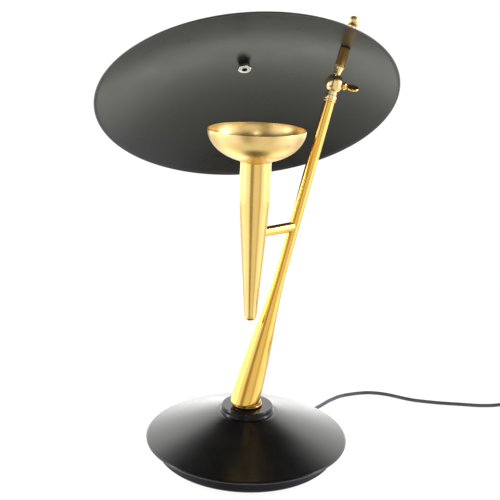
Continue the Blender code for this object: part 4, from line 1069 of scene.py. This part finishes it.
def dome(radius, angle):
    return (radius * math.sin(math.radians(angle)), radius * math.cos(math.radians(angle)))


angles = [hole_angle + (rim_angle - 0.3 - hole_angle) * k / 56 for k in range(57)]
bead = dome(DOME_R + DISH_THICK / 2, rim_angle)
rim = [(bead[0] + 0.95 * math.cos(math.radians(a - rim_angle)), bead[1] + 0.95 * math.sin(math.radians(a - rim_angle))) for a in range(-120, 121, 16)]
dish = lathe("dish", [dome(DOME_R, a) for a in angles] + rim + [dome(DOME_R + DISH_THICK, a) for a in reversed(angles)], "dish_paint", n=256, at=DOME_C, axis=DISH_UP, sharp=30, weighted=False)
carve(dish, rod_between(HOLE - ROD_DIR * 5, HOLE + ROD_DIR * 6, 3.45))
dish.data.transform(dish.matrix_world)
dish.matrix_world = WORLD
done(dish, "dish", "reflector")

done(lathe("dish_bush", eased([(5.4, -4.4), (6.5, -4.4), (6.6, -3.4), (6.1, -0.1), (5.4, -0.1)], 0.3), "black_plastic", n=72, at=APEX, axis=DISH_UP), "dish", "centre_washer")
done(hexagon("dish_nut", 14.0, 5.3, -7.8, -4.5, "steel", APEX, DISH_UP), "dish", "centre_nut")
done(lathe("dish_stud", eased([(3.4, -8.2), (4.7, -8.2), (5.15, -7.8), (5.15, 6), (3.4, 6)], 0.3), "steel", n=72, at=APEX, axis=DISH_UP), "dish", "centre_stud")
cap_line = [tuple(p) for p in through([Vector(q) for q in ((9.25, 2.4), (8.9, 4.6), (7.4, 7.1), (4.4, 8.9), (1.8, 9.5))], 0.4)]
done(lathe("dish_cap", [(0, 6.6), (5.35, 6.6), (5.35, 1.1), (9.0, 1.1), (9.2, 1.4)] + cap_line + [(0, 9.6)], "black_plastic", n=96, at=APEX, axis=DISH_UP), "dish", "centre_cap")

# CAD nodes that stay, inside the base and the torch, with their finishes

for name, look in {
    "base_weight": "cast_iron",
    "base_stud": "steel",
    "base_washer": "steel",
    "base_nut": "steel",
    "cover_post_1": "steel",
    "cover_post_2": "steel",
    "cover_post_3": "steel",
    "base_screw_1": "steel",
    "base_screw_2": "steel",
    "base_screw_3": "steel",
    "cord_tail": "cord_sheath",
    "terminal_block": "white_plastic",
    "lead_live": "brown_wire",
    "lead_neutral": "blue_wire",
    "lampholder_plate": "steel",
}.items():
    for slot in nodes[name].material_slots:
        slot.material = LOOKS[look]

# Floor and light


def floor_material():
    g = Graph("floor_paper", (0.16, 0.16, 0.16), 0.0, 0.9)
    tone = g.noise(g.mm, 0.01, 3.0, 0.5)
    g.use("Base Color", g.mix(tone, (0.16, 0.16, 0.16), (0.15, 0.15, 0.15)))
    g.set("Specular IOR Level", 0.0)
    g.set("Emission Color", (1, 1, 1, 1))
    g.set("Emission Strength", 0.93)
    return g.mat


mesh = bpy.data.meshes.new("floor")
edge = [(0.02 + 0.66 * math.cos(2 * math.pi * k / 96), 0.12 + 0.66 * math.sin(2 * math.pi * k / 96), 0) for k in range(96)]
mesh.from_pydata(edge, [], [tuple(range(96))])
mesh.materials.append(floor_material())
floor = bpy.data.objects.new("floor", mesh)
bpy.context.scene.collection.objects.link(floor)
floor.visible_glossy = False

# The studio: white walls, dimmer on the side that the lamp is looked at from, brightest behind and to both sides
world = bpy.data.worlds.new("studio")
bpy.context.scene.world = world
world.use_nodes = True
tree = world.node_tree
background = tree.nodes["Background"]
coord = tree.nodes.new("ShaderNodeTexCoord")


def wmath(how, a, b=0.0, clamp=False):
    n = tree.nodes.new("ShaderNodeMath")
    n.operation = how
    n.use_clamp = clamp
    for i, value in enumerate((a, b)):
        if isinstance(value, bpy.types.NodeSocket):
            tree.links.new(value, n.inputs[i])
        else:
            n.inputs[i].default_value = value
    return n.outputs[0]


def wdot(direction):
    n = tree.nodes.new("ShaderNodeVectorMath")
    n.operation = "DOT_PRODUCT"
    tree.links.new(coord.outputs["Generated"], n.inputs[0])
    n.inputs[1].default_value = direction
    return n.outputs["Value"]


toward = Vector((0.7501, -0.6613, 0)).normalized()
azimuth = wmath("ARCTAN2", wdot(right), wdot(toward))  # 0 towards the viewer, positive to the right
place = wmath("ADD", wmath("DIVIDE", azimuth, 2 * math.pi), 0.5)
ramp = tree.nodes.new("ShaderNodeValToRGB")
tree.links.new(place, ramp.inputs[0])
ramp.color_ramp.interpolation = "EASE"
# azimuth in degrees, radiance
STUDIO = [(-180, 2.6), (-135, 2.3), (-108, 1.8), (-80, 1.4), (-54, 1.35), (-42, 1.2), (-30, 0.42), (-17, 0.4), (-4, 0.95), (28, 0.95), (38, 0.7), (47, 0.95), (58, 1.35), (105, 1.6), (140, 2.2), (180, 2.6)]
MOST = 3.0
stops = ramp.color_ramp.elements
while len(stops) > 1:
    stops.remove(stops[-1])
for i, (deg, value) in enumerate(STUDIO):
    stop = stops[0] if i == 0 else stops.new(deg / 360 + 0.5)
    stop.position = deg / 360 + 0.5
    green, blue = (1, 0.985) if abs(deg) > 110 else (1.02, 1.22) if value > 1.15 else (0.98, 1.05) if value > 0.8 else (0.95, 0.78)
    stop.color = (value / MOST, value * green / MOST, value * blue / MOST, 1)
height = wdot((0, 0, 1))
lift = tree.nodes.new("ShaderNodeMapRange")
tree.links.new(height, lift.inputs["Value"])
lift.interpolation_type = "SMOOTHSTEP"
for key, v in zip(("From Min", "From Max", "To Min", "To Max"), (0.5, 0.8, 0.0, 1.0)):
    lift.inputs[key].default_value = v
blend = tree.nodes.new("ShaderNodeMix")
blend.data_type = "RGBA"
tree.links.new(lift.outputs[0], blend.inputs[0])
# The light behind the lamp is weaker just below the horizon
skirt = tree.nodes.new("ShaderNodeMapRange")
tree.links.new(height, skirt.inputs["Value"])
behind = tree.nodes.new("ShaderNodeMapRange")
tree.links.new(wdot(toward), behind.inputs["Value"])
for node, ends in ((skirt, (-0.3, -0.15, 1.0, 0.0)), (behind, (-0.6, -0.1, 1.0, 0.0))):
    node.interpolation_type = "SMOOTHSTEP"
    for key, v in zip(("From Min", "From Max", "To Min", "To Max"), ends):
        node.inputs[key].default_value = v
dim = wmath("SUBTRACT", 1.0, wmath("MULTIPLY", wmath("MULTIPLY", skirt.outputs[0], behind.outputs[0]), 0.6))
walls = tree.nodes.new("ShaderNodeVectorMath")
walls.operation = "SCALE"
tree.links.new(ramp.outputs[0], walls.inputs[0])
tree.links.new(dim, walls.inputs["Scale"])
tree.links.new(walls.outputs[0], blend.inputs[6])
blend.inputs[7].default_value = (0.05 / MOST, 0.05 / MOST, 0.05 / MOST, 1)
drop = tree.nodes.new("ShaderNodeMapRange")
tree.links.new(height, drop.inputs["Value"])
drop.interpolation_type = "SMOOTHSTEP"
for key, v in zip(("From Min", "From Max", "To Min", "To Max"), (-0.88, -0.5, 1.0, 0.0)):
    drop.inputs[key].default_value = v
under = tree.nodes.new("ShaderNodeMix")
under.data_type = "RGBA"
tree.links.new(drop.outputs[0], under.inputs[0])
tree.links.new(blend.outputs[2], under.inputs[6])
far = tree.nodes.new("ShaderNodeMapRange")
tree.links.new(wdot(toward), far.inputs["Value"])
far.interpolation_type = "SMOOTHSTEP"
for key, v in zip(("From Min", "From Max", "To Min", "To Max"), (-0.75, 0.05, 2.5 / MOST, 0.97 / MOST)):
    far.inputs[key].default_value = v
ground = tree.nodes.new("ShaderNodeVectorMath")
ground.operation = "SCALE"
ground.inputs[0].default_value = (0.995, 1.0, 0.89)
tree.links.new(far.outputs[0], ground.inputs["Scale"])
tree.links.new(ground.outputs[0], under.inputs[7])
tree.links.new(under.outputs[2], background.inputs["Color"])
background.inputs["Strength"].default_value = MOST
paper = tree.nodes.new("ShaderNodeBackground")
paper.inputs["Color"].default_value = (1, 1, 1, 1)
paper.inputs["Strength"].default_value = 1.02
rays = tree.nodes.new("ShaderNodeLightPath")
either = tree.nodes.new("ShaderNodeMixShader")
tree.links.new(rays.outputs["Is Camera Ray"], either.inputs[0])
tree.links.new(background.outputs[0], either.inputs[1])
tree.links.new(paper.outputs[0], either.inputs[2])
tree.links.new(either.outputs[0], tree.nodes["World Output"].inputs["Surface"])


def softbox(name, at, size, power, look_at=(0, 0, 0.2), colour=(1, 1, 1)):
    light = bpy.data.lights.new(name, "AREA")
    light.shape = "RECTANGLE"
    light.size, light.size_y = size
    light.energy = power
    light.color = colour
    obj = bpy.data.objects.new(name, light)
    bpy.context.scene.collection.objects.link(obj)
    obj.location = at
    obj.rotation_euler = (Vector(look_at) - Vector(at)).to_track_quat("-Z", "Y").to_euler()
    obj.visible_camera = False
    return obj


softbox("left_box", tuple(-right * 1.9 + toward * 0.3 + Z * 0.5), (0.5, 1.3), 5)
softbox("right_box", tuple(right * 1.9 + toward * 0.4 + Z * 0.5), (0.5, 1.3), 3)
softbox("left_high", tuple(-right * 1.55 - toward * 0.14 + Z * 1.12), (0.3, 0.5), 9)
softbox("right_high", tuple(right * 1.55 - toward * 0.14 + Z * 1.12), (0.3, 0.5), 9)
softbox("front_high", tuple(toward * 1.1 + Z * 1.6), (0.14, 0.14), 1.2)

bpy.context.scene.view_settings.view_transform = "Standard"
bpy.context.scene.view_settings.look = "None"
